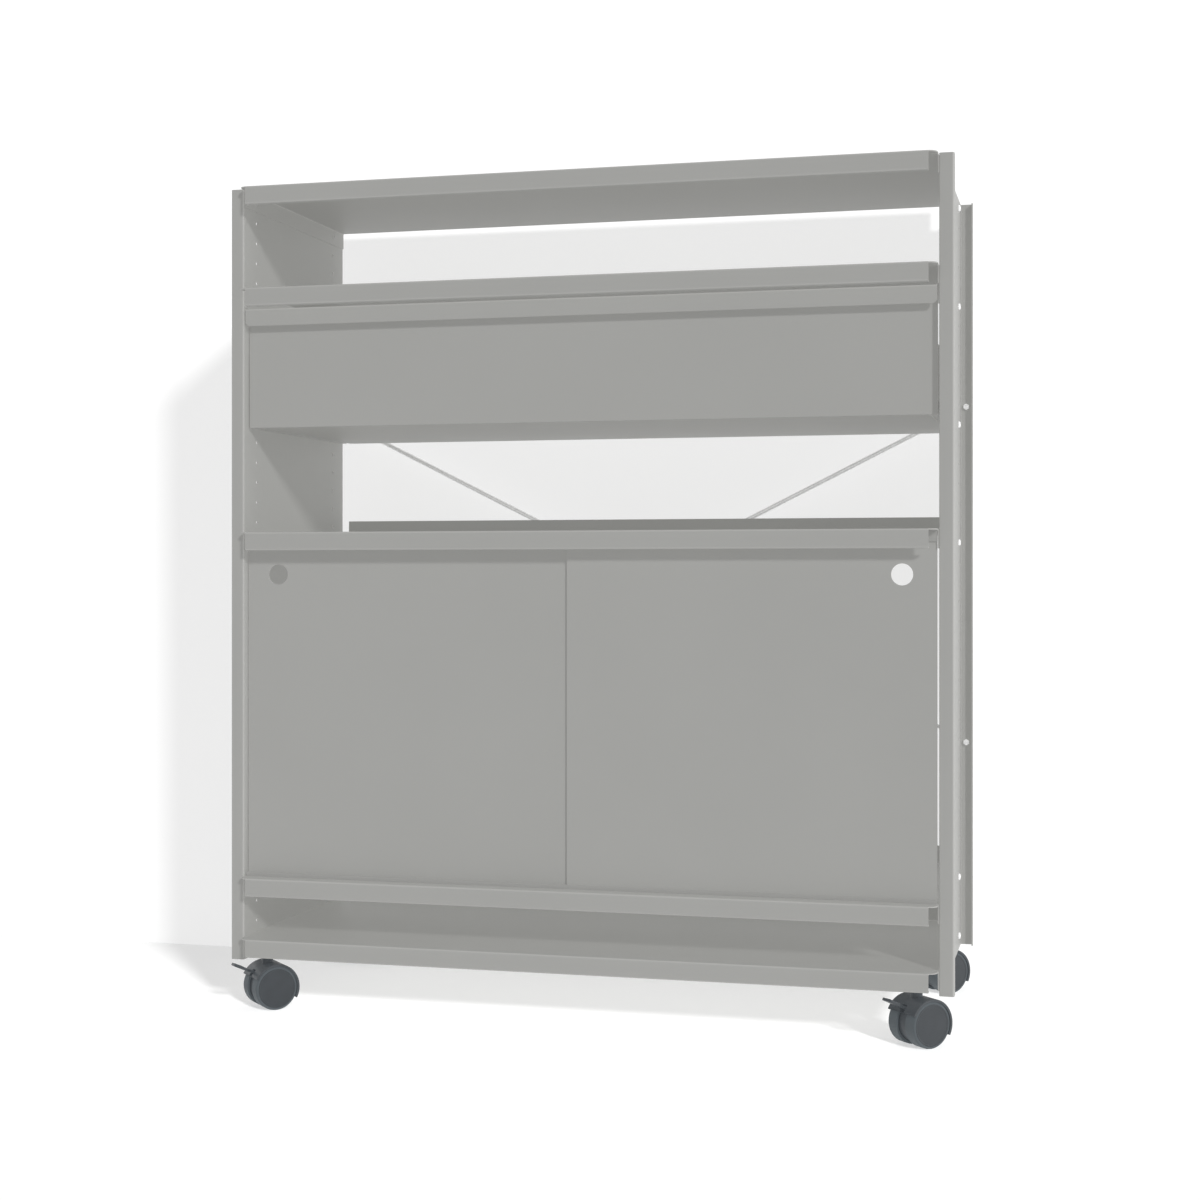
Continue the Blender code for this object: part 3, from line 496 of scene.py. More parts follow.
def castor_matrix(corner):
    """The place of a castor's axle: X along the axle, the lever towards -Y."""
    spin = joint(corner + "_wheel_a_spin")
    across = Vector(spin["axis"])
    along = Z_AXIS.cross(across)
    turn = Matrix((across, along, Z_AXIS)).transposed().to_4x4()
    return Matrix.Translation(spin["pos_m"]) @ turn


# Finishes

def add_node(tree, kind, values=None, links=None):
    """A shader node with values set on some of its sockets and others linked."""
    node = tree.nodes.new("ShaderNode" + kind)
    for socket, value in (values or {}).items():
        node.inputs[socket].default_value = value
    for socket, source in (links or {}).items():
        tree.links.new(source, node.inputs[socket])
    return node


class Finish:
    """A material with a Principled shader and a few procedural patterns."""

    def __init__(self, name, metallic, specular):
        self.material = bpy.data.materials.new(name)
        self.material.use_nodes = True
        self.tree = self.material.node_tree
        self.shader = self.tree.nodes["Principled BSDF"]
        self.shader.inputs["Metallic"].default_value = metallic
        self.shader.inputs["Specular IOR Level"].default_value = specular
        self.place = add_node(self.tree, "TexCoord").outputs["Object"]

    def drive(self, socket, source):
        """Link a socket of the shader."""
        self.tree.links.new(source, self.shader.inputs[socket])

    def noise(self, scale, detail, stretch=None):
        """Noise with a number of features per metre, stretched along an axis if asked to."""
        place = self.place
        if stretch:
            mapping = add_node(self.tree, "Mapping", {"Scale": stretch}, {"Vector": place})
            place = mapping.outputs["Vector"]
        cloud = add_node(self.tree, "TexNoise", {"Scale": scale, "Detail": detail},
                         {"Vector": place})
        return cloud.outputs["Fac"]

    def cells(self, scale):
        """Crystals with a number of cells per metre."""
        crystal = add_node(self.tree, "TexVoronoi", {"Scale": scale}, {"Vector": self.place})
        return crystal.outputs["Color"]

    def tones(self, pattern, tint, spread):
        """Base colour that drifts a little with a pattern."""
        ramp = add_node(self.tree, "ValToRGB", links={"Fac": pattern})
        dark, light = ramp.color_ramp.elements
        dark.position = PATTERN_LOW
        light.position = PATTERN_HIGH
        dark.color = (*[channel * (1 - spread) for channel in tint], 1.0)
        light.color = (*[channel * (1 + spread) for channel in tint], 1.0)
        self.drive("Base Color", ramp.outputs["Color"])

    def gloss(self, pattern, roughness, spread):
        """Roughness that follows a pattern."""
        levels = {"From Min": PATTERN_LOW, "From Max": PATTERN_HIGH,
                  "To Min": roughness - spread, "To Max": roughness + spread}
        remap = add_node(self.tree, "MapRange", levels, {"Value": pattern})
        self.drive("Roughness", remap.outputs["Result"])

    def relief(self, pattern, strength, depth):
        """Bumps that follow a pattern."""
        bump = add_node(self.tree, "Bump", {"Strength": strength, "Distance": depth},
                        {"Height": pattern})
        self.drive("Normal", bump.outputs["Normal"])


def finish_of(context, make):
    """A finish, made the first time it is asked for."""
    return bpy.data.materials.get(make.__name__) or make(context.scene.shelving_finishes)


def powder_coat(settings):
    """Fine matt powder coat: small grain, a slow drift in tone."""
    finish = Finish("powder_coat", metallic=0.0, specular=0.35)
    grain = finish.noise(scale=1400, detail=2)
    finish.tones(finish.noise(scale=5, detail=3), settings.coat, spread=0.012)
    finish.gloss(grain, settings.coat_roughness, spread=0.06)
    finish.relief(grain, strength=0.18, depth=0.00012)
    return finish.material


def zinc_plate(settings):
    """Zinc plating: small crystals, a cloudy gloss and a fine grain."""
    finish = Finish("zinc_plate", metallic=0.7, specular=0.5)
    finish.tones(finish.cells(scale=420), settings.zinc, spread=0.05)
    finish.gloss(finish.noise(scale=160, detail=3), settings.zinc_roughness, spread=0.07)
    finish.relief(finish.noise(scale=900, detail=2), strength=0.10, depth=0.00008)
    return finish.material


def dull_zinc(settings):
    """Passivated zinc: grey, with faint rolling lines along the unit's depth."""
    finish = Finish("dull_zinc", metallic=0.15, specular=0.4)
    lines = finish.noise(scale=1500, detail=2, stretch=(1.0, 0.02, 1.0))
    finish.tones(lines, settings.dull_zinc, spread=0.04)
    finish.gloss(lines, settings.dull_roughness, spread=0.06)
    finish.relief(lines, strength=0.12, depth=0.00008)
    return finish.material


def track_extrusion(settings):
    """Extruded track: fine die lines along its length."""
    finish = Finish("track_extrusion", metallic=0.0, specular=0.4)
    lines = finish.noise(scale=1800, detail=2, stretch=(0.01, 1.0, 1.0))
    finish.tones(lines, settings.track, spread=0.02)
    finish.gloss(lines, settings.track_roughness, spread=0.06)
    finish.relief(lines, strength=0.15, depth=0.0001)
    return finish.material


def moulding(name, tint, roughness):
    """Moulded dark plastic with a fine spark-eroded grain."""
    finish = Finish(name, metallic=0.0, specular=0.3)
    grain = finish.noise(scale=2200, detail=2)
    finish.tones(finish.noise(scale=60, detail=3), tint, spread=0.05)
    finish.gloss(grain, roughness, spread=0.06)
    finish.relief(grain, strength=0.12, depth=0.00012)
    return finish.material


def castor_moulding(settings):
    """Plastic of the castor housings and levers, a little lighter than the discs' copy: painted
    light that offsets the shade on the hoods.
    """
    return moulding("castor_moulding", settings.castor, settings.castor_roughness)


def disc_moulding_painted_shade(settings):
    """The castor plastic made darker for the wheel discs: painted shade that offsets the stronger
    light on their faces.
    """
    return moulding("disc_moulding_painted_shade", settings.disc, settings.castor_roughness)


def castor_tread(settings):
    """Hard tread: matt, with a little dust."""
    finish = Finish("castor_tread", metallic=0.0, specular=0.35)
    dust = finish.noise(scale=240, detail=4)
    finish.tones(dust, settings.tread, spread=0.10)
    finish.gloss(dust, settings.tread_roughness, spread=0.08)
    finish.relief(finish.noise(scale=1500, detail=3), strength=0.2, depth=0.00015)
    return finish.material


# Sheet metal

class SHELVING_OT_folded_sheets(bpy.types.Operator):
    """Side panels, shelves, drawer front and tray with rounded sheet edges"""

    bl_idname = "shelving.folded_sheets"
    bl_label = "Folded Sheets"

    def execute(self, context):
        coat = finish_of(context, powder_coat)
        dress_copies(context, SHEETS, "_sheet", coat)
        return {"FINISHED"}


class SHELVING_OT_doors(bpy.types.Operator):
    """Sliding doors with a round finger hole"""

    bl_idname = "shelving.doors"
    bl_label = "Sliding Doors"

    def execute(self, context):
        sheet = context.scene.shelving_sheet
        coat = finish_of(context, powder_coat)
        for word, side in SIDES.items():
            node = "door_" + word
            low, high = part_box(node)
            size = high - low
            leaf = block(size, middle=(low + high) / 2)
            outer = high.x if side > 0 else low.x
            hole = (outer - side * sheet.finger_inset, (low.y + high.y) / 2,
                    high.z - sheet.finger_drop)
            punch = cylinder(sides=64, radius=sheet.finger_hole / 2, depth=THROUGH * size.y,
                             middle=hole, turn=ALONG_Y)
            combine(leaf, punch, "DIFFERENCE")
            soften(leaf, sheet.edge)
            leaf.name = node + "_leaf"
            dress(leaf, coat, node)
        return {"FINISHED"}


class SHELVING_OT_tracks(bpy.types.Operator):
    """Door tracks above and below the sliding doors"""

    bl_idname = "shelving.tracks"
    bl_label = "Door Tracks"

    def execute(self, context):
        finish = finish_of(context, track_extrusion)
        dress_copies(context, TRACKS, "_extrusion", finish)
        return {"FINISHED"}


class SHELVING_OT_runners(bpy.types.Operator):
    """Drawer runners: fixed and moving rails"""

    bl_idname = "shelving.runners"
    bl_label = "Drawer Runners"

    def execute(self, context):
        zinc = finish_of(context, dull_zinc)
        dress_copies(context, RAILS, "_rolled", zinc)
        return {"FINISHED"}


# Fixings

def button_screw(fixings):
    """A button-head screw on the plane Z = 0, its shank below."""
    height = fixings.head_height
    dome = height * 0.8
    shank_length = 0.0013
    head = cylinder(sides=32, radius=fixings.head / 2, depth=height, middle=(0, 0, height / 2))
    edit(head)
    pick_side(head, Z_AXIS)
    bpy.ops.mesh.bevel(offset=dome, segments=6)
    pick_side(head, -Z_AXIS)
    bpy.ops.mesh.inset(thickness=(fixings.head - fixings.shank) / 2)
    extrude((0, 0, -shank_length))
    close_edit()
    socket_middle = height * 1.1
    socket = cylinder(sides=6, radius=fixings.key / math.sqrt(3), depth=height,
                      middle=(0, 0, socket_middle))
    combine(head, socket, "DIFFERENCE")
    smooth(head)
    return head


def bored_head(width, height, rounding, steps, rim, bore):
    """A low round head on the plane Z = 0, bored from above.

    The rim is a share of its width, the rounding and the bore are shares of its height.
    """
    head = cylinder(sides=24, radius=width / 2, depth=height, middle=(0, 0, height / 2))
    edit(head)
    pick_side(head, Z_AXIS)
    bpy.ops.mesh.bevel(offset=height * rounding, segments=steps)
    pick_side(head, Z_AXIS)
    bpy.ops.mesh.inset(thickness=width * rim)
    extrude((0, 0, -height * bore))
    close_edit()
    smooth(head)
    return head


def domed_rivet(fixings):
    """A blind rivet's domed head with its mandrel hole."""
    return bored_head(fixings.rivet, fixings.rivet_height, rounding=0.75, steps=4,
                      rim=0.16, bore=0.6)


def threaded_insert(fixings):
    """The flange of a threaded insert with its bore."""
    return bored_head(fixings.insert, fixings.insert_height, rounding=0.4, steps=2,
                      rim=0.22, bore=0.8)


class SHELVING_OT_fixings(bpy.types.Operator):
    """Screws of the shelves and runners, inserts inside, rivets in the drawer"""

    bl_idname = "shelving.fixings"
    bl_label = "Screws and Rivets"

    def execute(self, context):
        fixings = context.scene.shelving_fixings
        sheet = context.scene.shelving_sheet
        zinc = finish_of(context, zinc_plate)
        dull = finish_of(context, dull_zinc)
        screw = button_screw(fixings)
        insert = threaded_insert(fixings)
        low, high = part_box("side_panel_right")
        rows = (low.y + sheet.hole_inset, high.y - sheet.hole_inset)
        web = high.x - sheet.flange + sheet.gauge
        quarter_up = [low.z + (high.z - low.z) / 4 for low, high in map(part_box, SHELVES)]
        rail_low, rail_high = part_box("drawer_fixed_rail_right")
        runner = (rail_low.z + rail_high.z) / 2
        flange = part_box("top_shelf")[1].x - sheet.gauge
        for word, side in SIDES.items():
            outwards = X_AXIS * side
            spots = [(side * web, y, z) for z in (*quarter_up, runner) for y in rows]
            panel = "side_panel_" + word
            fasten(screw, "screws_" + word, outwards, spots, zinc, panel)
            spots = [(side * flange, y, z) for z in quarter_up for y in rows]
            fasten(insert, "inserts_" + word, -outwards, spots, dull, panel)

        rivet = domed_rivet(fixings)
        tray_low, tray_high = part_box("drawer_tray")
        inside = tray_low.y + sheet.gauge
        reach = tray_high.x * 0.9
        level = (tray_low.z + tray_high.z) / 2
        spots = [(reach * step, inside, level) for step in (-1, -0.5, 0, 0.5, 1)]
        fasten(rivet, "drawer_rivets", Y_AXIS, spots, zinc, "drawer_tray")
        discard(screw, insert, rivet)
        return {"FINISHED"}


# Rear brace

def threaded_tip(brace):
    """A threaded tip along -Z from the plane Z = 0: rings drawn in and out."""
    rings = int(brace.tip_length / brace.pitch) * 2
    tip = new_primitive(bpy.ops.mesh.primitive_circle_add, vertices=20, radius=brace.tip / 2,
                        fill_type="NGON")
    edit(tip, "SELECT")
    step = brace.tip_length / rings
    root = 0.88
    for ring in range(rings):
        extrude((0, 0, -step))
        factor = root if ring % 2 == 0 else 1 / root
        bpy.ops.transform.resize(value=(factor, factor, 1))
    close_edit()
    tidy_mesh(tip)
    smooth(tip)
    return tip


def bent_rod(name, start, end, run_y, brace):
    """A round rod from one rear flange to the other, hooked at both ends."""
    first = Vector((start.x, run_y, start.z))
    second = Vector((end.x, run_y, end.z))
    run = (second - first).normalized()
    rod = new_primitive(bpy.ops.mesh.primitive_circle_add, vertices=24, radius=brace.rod / 2,
                        fill_type="NGON", location=start, rotation=(-QUARTER, 0, 0))
    hook = {"steps": BEND_STEPS, "angle": -QUARTER, "axis": Y_AXIS.cross(run)}
    edit(rod, "SELECT")
    extrude((0, run_y - brace.bend - start.y, 0))
    bpy.ops.mesh.spin(center=first + (run - Y_AXIS) * brace.bend, **hook)
    extrude(second - first - run * 2 * brace.bend)
    bpy.ops.mesh.spin(center=second - (run + Y_AXIS) * brace.bend, **hook)
    extrude((0, end.y - run_y + brace.bend, 0))
    close_edit()
    tidy_mesh(rod)
    smooth(rod)
    rod.name = name
    return rod


def hex_nut(fixings, bore):
    """A hexagon nut on the plane Z = 0 with broken corners and a bore."""
    height = fixings.nut_height
    middle = (0, 0, height / 2)
    corner_radius = fixings.nut * 0.56
    chamfer = fixings.nut * 0.08
    longer = height * 1.001
    nut = cylinder(sides=6, radius=fixings.nut / math.sqrt(3), depth=height, middle=middle)
    turned = cylinder(sides=48, radius=corner_radius, depth=longer, middle=middle)
    edit(turned)
    pick(turned, "FACE", lambda face: abs(face.normal.z) > SAME_WAY)
    bpy.ops.mesh.bevel(offset=chamfer, segments=1)
    close_edit()
    combine(nut, turned, "INTERSECT")
    drill = cylinder(sides=24, radius=bore / 2, depth=THROUGH * height)
    combine(nut, drill, "DIFFERENCE")
    smooth(nut)
    return nut


class SHELVING_OT_brace(bpy.types.Operator):
    """Crossed rods at the back with threaded tips and nuts"""

    bl_idname = "shelving.brace"
    bl_label = "Rear Brace"

    def execute(self, context):
        brace = context.scene.shelving_brace
        zinc = finish_of(context, zinc_plate)
        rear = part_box("side_panel_right")[1].y
        bore = brace.tip * 1.06
        nut = hex_nut(context.scene.shelving_fixings, bore)
        corners = {}
        for level in ("upper", "lower"):
            for word in SIDES:
                node = f"brace_nut_{level}_{word}"
                low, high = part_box(node)
                middle = (low + high) / 2
                corners[level, word] = middle
                seat = Vector((middle.x, high.y, middle.z))
                piece = copy_at(nut, node + "_hex", facing(-Y_AXIS, seat))
                dress(piece, zinc, node)

        tip = threaded_tip(brace)
        for high_end, low_end in (("right", "left"), ("left", "right")):
            node = "brace_rod_rising_" + high_end
            start = corners["upper", high_end]
            end = corners["lower", low_end]
            start.y = end.y = rear + brace.seat_gap
            run_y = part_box(node)[1].y - brace.rod / 2
            rod = bent_rod(node + "_bar", start, end, run_y, brace)
            dress(rod, zinc, node)
            fasten(tip, node + "_tips", Y_AXIS, (start, end), zinc, node)
        discard(nut, tip)
        return {"FINISHED"}


# Castors

def wheel_blank(castor, radius, depth=None):
    """A cylinder about the axle at the wheel on the castor's +X side, as wide as it or deeper."""
    inner = castor.web / 2 + castor.play
    outer = castor.width / 2 - castor.recess
    middle = ((inner + outer) / 2, 0, 0)
    return cylinder(castor.sides, radius, depth or outer - inner, middle, ALONG_X)


def wheel_disc(castor):
    """A wheel's moulded disc: raised rim, shallow dish and hub cap, hollow inside."""
    rim_width = 0.0018
    step = 0.0004
    dish_width = 0.0155
    cap_slope = 0.0006
    cap_rise = 0.0003
    wall = 0.004
    hollow = 0.003
    rounding = 0.00025
    disc = wheel_blank(castor, castor.wheel - castor.tyre)
    edit(disc)
    pick_side(disc, X_AXIS)
    bpy.ops.mesh.inset(thickness=rim_width)
    bpy.ops.mesh.inset(thickness=step)
    move((-step, 0, 0))
    bpy.ops.mesh.inset(thickness=dish_width)
    bpy.ops.mesh.inset(thickness=cap_slope)
    move((cap_rise, 0, 0))
    pick_side(disc, -X_AXIS)
    bpy.ops.mesh.inset(thickness=wall)
    extrude((hollow, 0, 0))
    close_edit()
    soften(disc, rounding)
    return disc


def wheel_tyre(castor):
    """A wheel's tread band with a rounded outer shoulder."""
    clearance = 0.0001
    tyre = wheel_blank(castor, castor.wheel)
    edit(tyre)
    pick_side(tyre, X_AXIS)
    bpy.ops.mesh.bevel(offset=castor.shoulder, segments=8)
    pick_side(tyre, -X_AXIS)
    bpy.ops.mesh.bevel(offset=castor.shoulder / 4, segments=3)
    close_edit()
    core = wheel_blank(castor, castor.wheel - castor.tyre + clearance, depth=castor.width)
    combine(tyre, core, "DIFFERENCE")
    smooth(tyre)
    return tyre


class SHELVING_OT_castor_wheels(bpy.types.Operator):
    """Twin wheels: moulded discs with tread bands"""

    bl_idname = "shelving.castor_wheels"
    bl_label = "Castor Wheels"

    def execute(self, context):
        castor = context.scene.shelving_castor
        plastic = finish_of(context, disc_moulding_painted_shade)
        tread = finish_of(context, castor_tread)
        disc = wheel_disc(castor)
        tyre = wheel_tyre(castor)
        half_turn = Matrix.Rotation(math.pi, 4, "Z")
        for corner in CORNERS:
            axle = castor_matrix(corner)
            for letter, turn in (("a", Matrix.Identity(4)), ("b", half_turn)):
                node = f"{corner}_castor_wheel_{letter}"
                piece = copy_at(tyre, node + "_tyre", axle @ turn)
                dress(piece, tread, node)
                piece = copy_at(disc, node + "_disc", axle @ turn)
                dress(piece, plastic, node, stands_in=False)
        discard(disc, tyre)
        return {"FINISHED"}


def spun_section(half_width, inner, outer, start, sweep, shape=None):
    """A rectangle across the axle, shaped if need be, and spun about it."""
    outward = Vector((0, math.cos(start), math.sin(start)))
    section = new_primitive(bpy.ops.mesh.primitive_plane_add, size=1,
                            location=outward * (inner + outer) / 2, rotation=(start, 0, 0),
                            scale=(2 * half_width, outer - inner, 1))
    edit(section)
    if shape:
        shape(section, outward)
    bpy.ops.mesh.select_all(action="SELECT")
    bpy.ops.mesh.spin(steps=int(sweep / SPIN_STEP), angle=-sweep, center=(0, 0, 0), axis=X_AXIS)
    close_edit()
    tidy_mesh(section)
    return section


def hood_band(castor):
    """The hood over both wheels, with a rim turned in at each side."""
    half = castor.width / 2
    inner = castor.wheel + castor.hood_gap
    rim = castor.hood_rim
    rounding = rim * 0.35

    def rimmed(section, outward):
        for side in (-1, 1):
            bpy.ops.mesh.select_all(action="SELECT")
            bpy.ops.mesh.bisect(plane_co=(side * (half - rim), 0, 0), plane_no=X_AXIS)
        pick(section, "EDGE", lambda edge: middle_of(edge).dot(outward) < inner + TINY
             and abs(middle_of(edge).x) > half - rim)
        extrude(-outward * rim)
        pick(section, "VERT", lambda corner: abs(corner.co.x) > half - TINY
             or corner.co.dot(outward) < inner - TINY)
        bpy.ops.mesh.bevel(offset=rounding, segments=3, affect="VERTICES")

    return spun_section(half, inner, inner + castor.hood_wall, castor.hood_from,
                        castor.hood_to - castor.hood_from, rimmed)


def castor_housing(castor, braked):
    """Hood, web and stem boss in one moulding about the axle; a slot for the lever."""
    hood_top = castor.wheel + castor.hood_gap + castor.hood_wall
    boss_low = castor.web_radius - castor.hood_wall
    boss_top = hood_top + castor.boss_height
    setback = castor.web_setback
    just_inside_web = castor.web * 0.49
    housing = hood_band(castor)
    rib = spun_section(just_inside_web, castor.web_radius / 2, hood_top - castor.hood_wall / 2,
                       castor.hood_from + setback, castor.hood_to - castor.hood_from - 2 * setback)
    web = cylinder(castor.sides, castor.web_radius, castor.web, turn=ALONG_X)
    boss = cylinder(sides=48, radius=castor.boss / 2, depth=boss_top - boss_low,
                    middle=(0, -castor.trail, (boss_top + boss_low) / 2))
    for part in (rib, web, boss):
        combine(housing, part, "UNION", solver="MANIFOLD")
    if braked:
        tilt = castor.lever_tilt - castor.lever_travel / 2
        reach = castor.lever_length
        pin = Vector((0, -castor.trail - castor.pin_forward, castor.pin_rise))
        middle = pin + Vector((0, -math.cos(tilt), math.sin(tilt))) * reach / 2
        slot_width = castor.lever_neck + 2 * castor.slot_gap
        slot = block((slot_width, reach + castor.lever_hub, castor.lever_slot), middle,
                     turn=(-tilt, 0, 0))
        combine(housing, slot, "DIFFERENCE", solver="MANIFOLD")
    put_in_order(housing)
    tidy_mesh(housing, weld=MOULD_WELD)
    put_in_order(housing)
    tidy_mesh(housing, flat=MOULD_FLAT)
    soften(housing, castor.edge, clamp=False)
    return housing


class SHELVING_OT_castor_housings(bpy.types.Operator):
    """Castor housings with hood, web and boss; sockets, stems, axles and pins"""

    bl_idname = "shelving.castor_housings"
    bl_label = "Castor Housings"

    def execute(self, context):
        castor = context.scene.shelving_castor
        plastic = finish_of(context, castor_moulding)
        zinc = finish_of(context, zinc_plate)
        models = {braked: castor_housing(castor, braked) for braked in (False, True)}
        rivet = domed_rivet(context.scene.shelving_fixings)
        for corner in CORNERS:
            braked = corner in BRAKED_CORNERS
            node = corner + "_castor_housing"
            piece = copy_at(models[braked], node + "_moulding", castor_matrix(corner))
            dress(piece, plastic, node)
            socket = corner + "_castor_socket"
            dress_copies(context, (socket,), "_turned", zinc)
            spots = self.rivet_spots(socket, castor)
            fasten(rivet, socket + "_rivets", -Z_AXIS, spots, zinc, socket)
            coat_node(corner + "_castor_stem", zinc)
            coat_node(corner + "_castor_axle", zinc)
            if braked:
                coat_node(corner + "_castor_lever_pin", zinc)
        discard(*models.values(), rivet)
        return {"FINISHED"}

    @staticmethod
    def rivet_spots(socket, castor):
        """Four spots round a socket's flange, on its lower side."""
        low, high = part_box(socket)
        middle = (low + high) / 2
        level = high.z - castor.socket_flange
        radius = (high.x - low.x) * 0.38
        turns = [QUARTER * (quarter + 0.5) for quarter in range(4)]
        return [(middle.x + radius * math.cos(turn), middle.y + radius * math.sin(turn), level)
                for turn in turns]


def brake_lever(castor):
    """A lever along -Y from its pin at the origin: hub, neck and ribbed paddle."""
    neck = castor.lever_neck
    beyond_neck = neck * 0.6
    hub_width = neck * 0.96
    lever = block((neck, castor.lever_neck_length, castor.lever_thickness),
                  middle=(0, -castor.lever_neck_length / 2, 0))
    edit(lever)
    pick_side(lever, -Y_AXIS)
    extrude((0, -castor.lever_corner, 0))
    bpy.ops.transform.resize(value=(castor.lever_paddle / neck, 1, 1))
    extrude((0, castor.lever_neck_length + castor.lever_corner - castor.lever_length, 0))
    pick(lever, "EDGE", lambda edge: abs(middle_of(edge).x) > beyond_neck
         and abs(middle_of(edge).z) < TINY)
    bpy.ops.mesh.bevel(offset=castor.lever_corner, segments=6)
    close_edit()
    hub = cylinder(sides=32, radius=castor.lever_hub / 2, depth=hub_width, turn=ALONG_X)
    combine(lever, hub, "UNION")
    drill = cylinder(sides=32, radius=castor.pin_hole / 2, depth=2 * neck, turn=ALONG_X)
    combine(lever, drill, "DIFFERENCE")
    tidy_mesh(lever, MOULD_WELD, MOULD_FLAT)
    soften(lever, castor.edge, clamp=False)
    for place in range(castor.ribs):
        combine(lever, grip_rib(castor, place), "UNION")
    smooth(lever)
    return lever


def grip_rib(castor, place):
    """One rounded rib across the paddle's top, counted from the tip."""
    pitch = castor.rib * 2.2
    rounding = castor.rib * 0.3
    start = castor.lever_length - castor.lever_corner
    width = castor.lever_paddle - 2 * castor.lever_corner
    rib = cylinder(sides=16, radius=castor.rib / 2, depth=width, turn=ALONG_X,
                   middle=(0, -start + place * pitch, castor.lever_thickness / 2))
    soften(rib, rounding)
    return rib


class SHELVING_OT_brake_levers(bpy.types.Operator):
    """Brake levers of the front castors"""

    bl_idname = "shelving.brake_levers"
    bl_label = "Brake Levers"

    def execute(self, context):
        castor = context.scene.shelving_castor
        plastic = finish_of(context, castor_moulding)
        lever = brake_lever(castor)
        tilt = Matrix.Rotation(-castor.lever_tilt, 4, "X")
        for corner in BRAKED_CORNERS:
            node = corner + "_castor_brake_lever"
            turn = castor_matrix(corner).to_3x3().to_4x4()
            place = Matrix.Translation(joint(corner + "_brake_press")["pos_m"])
            piece = copy_at(lever, node + "_moulding", place @ turn @ tilt)
            dress(piece, plastic, node)
        discard(lever)
        return {"FINISHED"}


# Studio

def add_sun(name, direction, strength, spread=None):
    """A distant lamp that shines from a direction."""
    turn = Vector(direction).to_track_quat("Z", "Y").to_euler()
    bpy.ops.object.select_all(action="DESELECT")
    bpy.ops.object.light_add(type="SUN", rotation=turn)
    lamp = bpy.context.object
    lamp.name = name
    lamp.data.energy = strength
    if spread:
        lamp.data.angle = spread
    return lamp


def collect(name, *items):
    """A collection of objects for light linking."""
    group = bpy.data.collections.new(name)
    for item in items:
        group.objects.link(item)
    return group


def seen_rays(tree):
    """1 for camera, mirror and glass rays, so that they all meet the same white."""
    path = add_node(tree, "LightPath")
    seen = path.outputs["Is Camera Ray"]
    for kind in ("Is Glossy Ray", "Is Transmission Ray"):
        larger = add_node(tree, "Math", links={0: seen, 1: path.outputs[kind]})
        larger.operation = "MAXIMUM"
        seen = larger.outputs[0]
    return seen


def mixed(tree, factor, first, second):
    """A shader that goes from a first one to a second one with a factor."""
    mix = add_node(tree, "MixShader", links={"Fac": factor, 1: first, 2: second})
    return mix.outputs[0]


def stage_plane(name, bounce, level, glow, **place):
    """A plane whose white keeps a shadow: part glow, part lit surface, clear from behind."""
    plane = new_primitive(bpy.ops.mesh.primitive_plane_add, size=STAGE_SIZE, **place)
    plane.name = name
    material = bpy.data.materials.new(name)
    material.use_nodes = True
    tree = material.node_tree
    tree.nodes.clear()
    lit = add_node(tree, "BsdfDiffuse", {"Color": (bounce, bounce, bounce, 1.0)}).outputs[0]
    shown = add_node(tree, "BsdfDiffuse", {"Color": (level, level, level, 1.0)}).outputs[0]
    emission = add_node(tree, "Emission", {"Strength": glow}).outputs[0]
    both = add_node(tree, "AddShader", links={0: shown, 1: emission}).outputs[0]
    front = mixed(tree, seen_rays(tree), lit, both)
    clear = add_node(tree, "BsdfTransparent").outputs[0]
    behind = add_node(tree, "NewGeometry").outputs["Backfacing"]
    add_node(tree, "OutputMaterial", links={"Surface": mixed(tree, behind, front, clear)})
    plane.data.materials.append(material)
    return plane


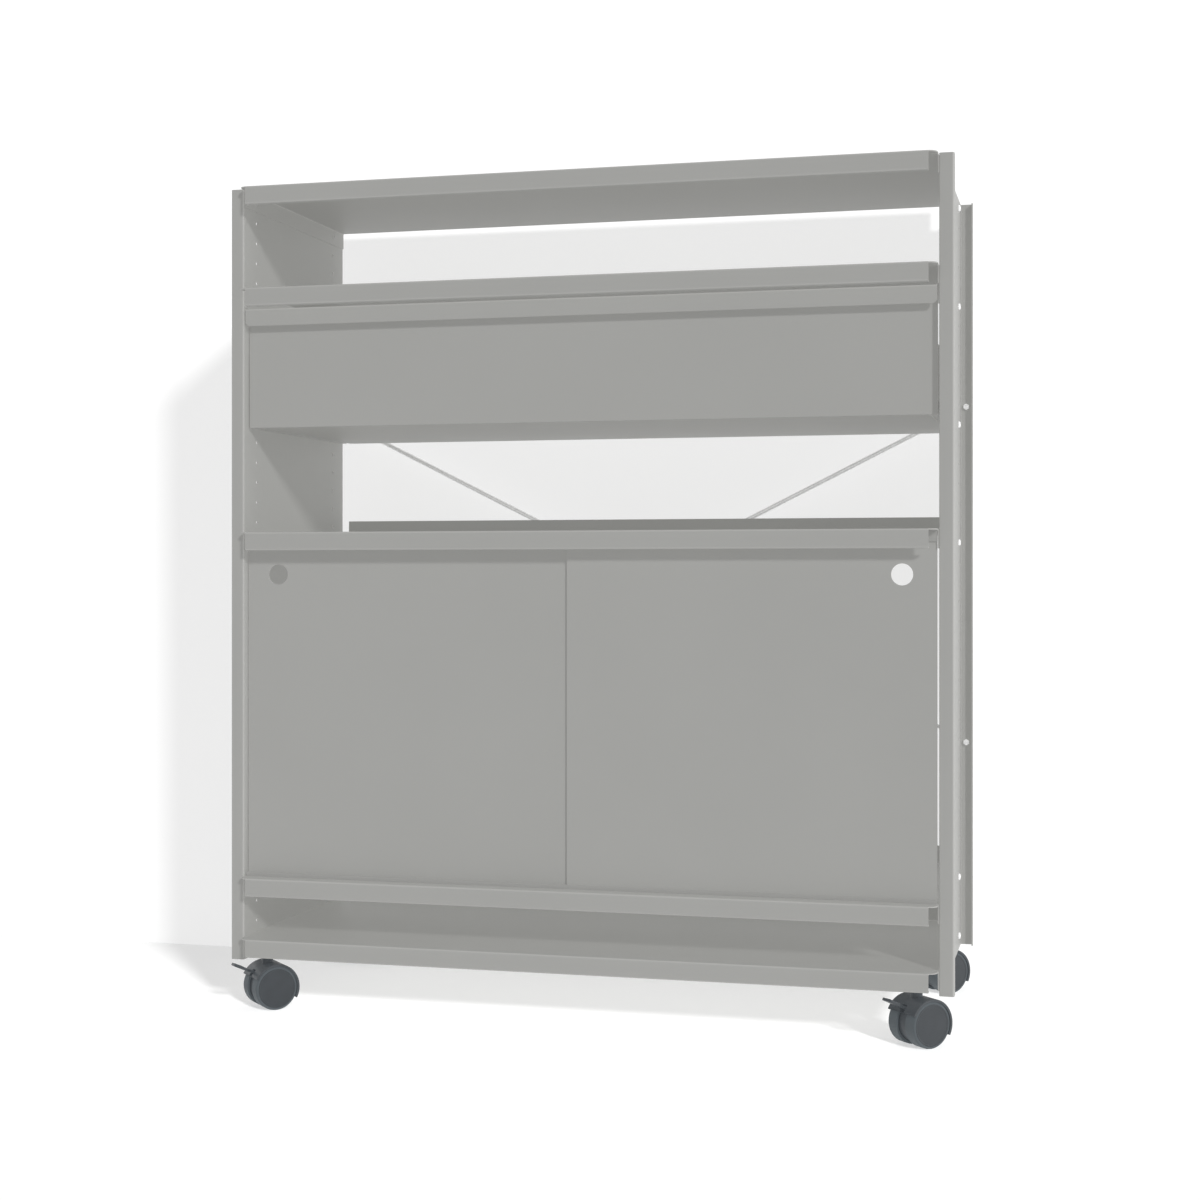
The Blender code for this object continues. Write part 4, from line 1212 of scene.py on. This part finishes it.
class SHELVING_OT_studio(bpy.types.Operator):
    """Pale floor and wall, soft light and the camera"""

    bl_idname = "shelving.studio"
    bl_label = "Studio"

    def execute(self, context):
        studio = context.scene.shelving_studio
        rear = CAD_BOX[1].y + studio.wall_gap
        floor = stage_plane("studio_floor", studio.bounce, studio.floor_white, studio.floor_glow)
        wall = stage_plane("studio_wall", studio.bounce, studio.wall_white, studio.wall_glow,
                           location=(0, rear, STAGE_SIZE / 2), rotation=(QUARTER, 0, 0))
        wall.visible_diffuse = False
        wall.visible_shadow = False
        self.lamps(studio, floor, wall)
        self.world(context, studio)
        self.camera(context, studio)
        context.scene.view_settings.view_transform = "Standard"
        return {"FINISHED"}

    @staticmethod
    def lamps(studio, floor, wall):
        """A key from the front right, more of it on the stage, a side light and fill all round."""
        key = add_sun("key_light", studio.key_from, studio.key, studio.key_size)
        key.visible_glossy = False
        # The second shelf casts no shadow of this lamp
        unshaded = collect("key_light_passes", bpy.data.objects["second_shelf_sheet"])
        unshaded.collection_objects[0].light_linking.link_state = "EXCLUDE"
        key.light_linking.blocker_collection = unshaded
        stage_key = add_sun("stage_key_light", studio.key_from, studio.stage_key, studio.key_size)
        stage_key.light_linking.receiver_collection = collect("studio_stage", floor, wall)
        add_sun("side_light", X_AXIS, studio.side, studio.key_size)
        for name, (direction, part) in FILL_FROM.items():
            fill = add_sun("fill_" + name, direction, studio.fill * part)
            fill.data.use_shadow = False
            fill.visible_glossy = False

    @staticmethod
    def world(context, studio):
        """Faint light from all round, seen as white."""
        world = bpy.data.worlds.new("studio_world")
        context.scene.world = world
        world.use_nodes = True
        tree = world.node_tree
        tree.nodes.clear()
        around = add_node(tree, "Background", {"Strength": studio.ambient, "Color": WHITE})
        white = add_node(tree, "Background", {"Color": WHITE})
        surface = mixed(tree, seen_rays(tree), around.outputs[0], white.outputs[0])
        add_node(tree, "OutputWorld", links={"Surface": surface})

    @staticmethod
    def camera(context, studio):
        """A level camera with the frame shifted to its horizon."""
        bpy.ops.object.camera_add(location=studio.camera, rotation=(QUARTER, 0, studio.yaw))
        camera = context.object
        camera.name = "studio_camera"
        camera.data.lens = studio.lens
        camera.data.shift_y = studio.horizon
        context.scene.camera = camera


# Panel and registration

OPERATORS = (
    SHELVING_OT_folded_sheets,
    SHELVING_OT_doors,
    SHELVING_OT_tracks,
    SHELVING_OT_runners,
    SHELVING_OT_fixings,
    SHELVING_OT_brace,
    SHELVING_OT_castor_wheels,
    SHELVING_OT_castor_housings,
    SHELVING_OT_brake_levers,
    SHELVING_OT_studio,
)
SETTINGS = {
    "shelving_finishes": ShelvingFinishes,
    "shelving_sheet": ShelvingSheet,
    "shelving_fixings": ShelvingFixings,
    "shelving_brace": ShelvingBrace,
    "shelving_castor": ShelvingCastor,
    "shelving_studio": ShelvingStudio,
}


class SHELVING_PT_pieces(bpy.types.Panel):
    """Buttons for the pieces of the shelving unit"""

    bl_idname = "SHELVING_PT_pieces"
    bl_label = "Shelving Unit"
    bl_space_type = "VIEW_3D"
    bl_region_type = "UI"
    bl_category = "Shelving"

    def draw(self, context):
        column = self.layout.column()
        for operator in OPERATORS:
            column.operator(operator.bl_idname)


def register():
    """Register the settings, operators and panel."""
    for name, group in SETTINGS.items():
        bpy.utils.register_class(group)
        setattr(bpy.types.Scene, name, PointerProperty(type=group))
    for item in (*OPERATORS, SHELVING_PT_pieces):
        bpy.utils.register_class(item)


def unregister():
    """Undo register."""
    for item in (SHELVING_PT_pieces, *reversed(OPERATORS)):
        bpy.utils.unregister_class(item)
    for name, group in SETTINGS.items():
        delattr(bpy.types.Scene, name)
        bpy.utils.unregister_class(group)


def main():
    """Build every piece in order."""
    register()
    bpy.ops.shelving.folded_sheets()
    bpy.ops.shelving.doors()
    bpy.ops.shelving.tracks()
    bpy.ops.shelving.runners()
    bpy.ops.shelving.fixings()
    bpy.ops.shelving.brace()
    bpy.ops.shelving.castor_wheels()
    bpy.ops.shelving.castor_housings()
    bpy.ops.shelving.brake_levers()
    bpy.ops.shelving.studio()


if __name__ == "__main__":
    main()
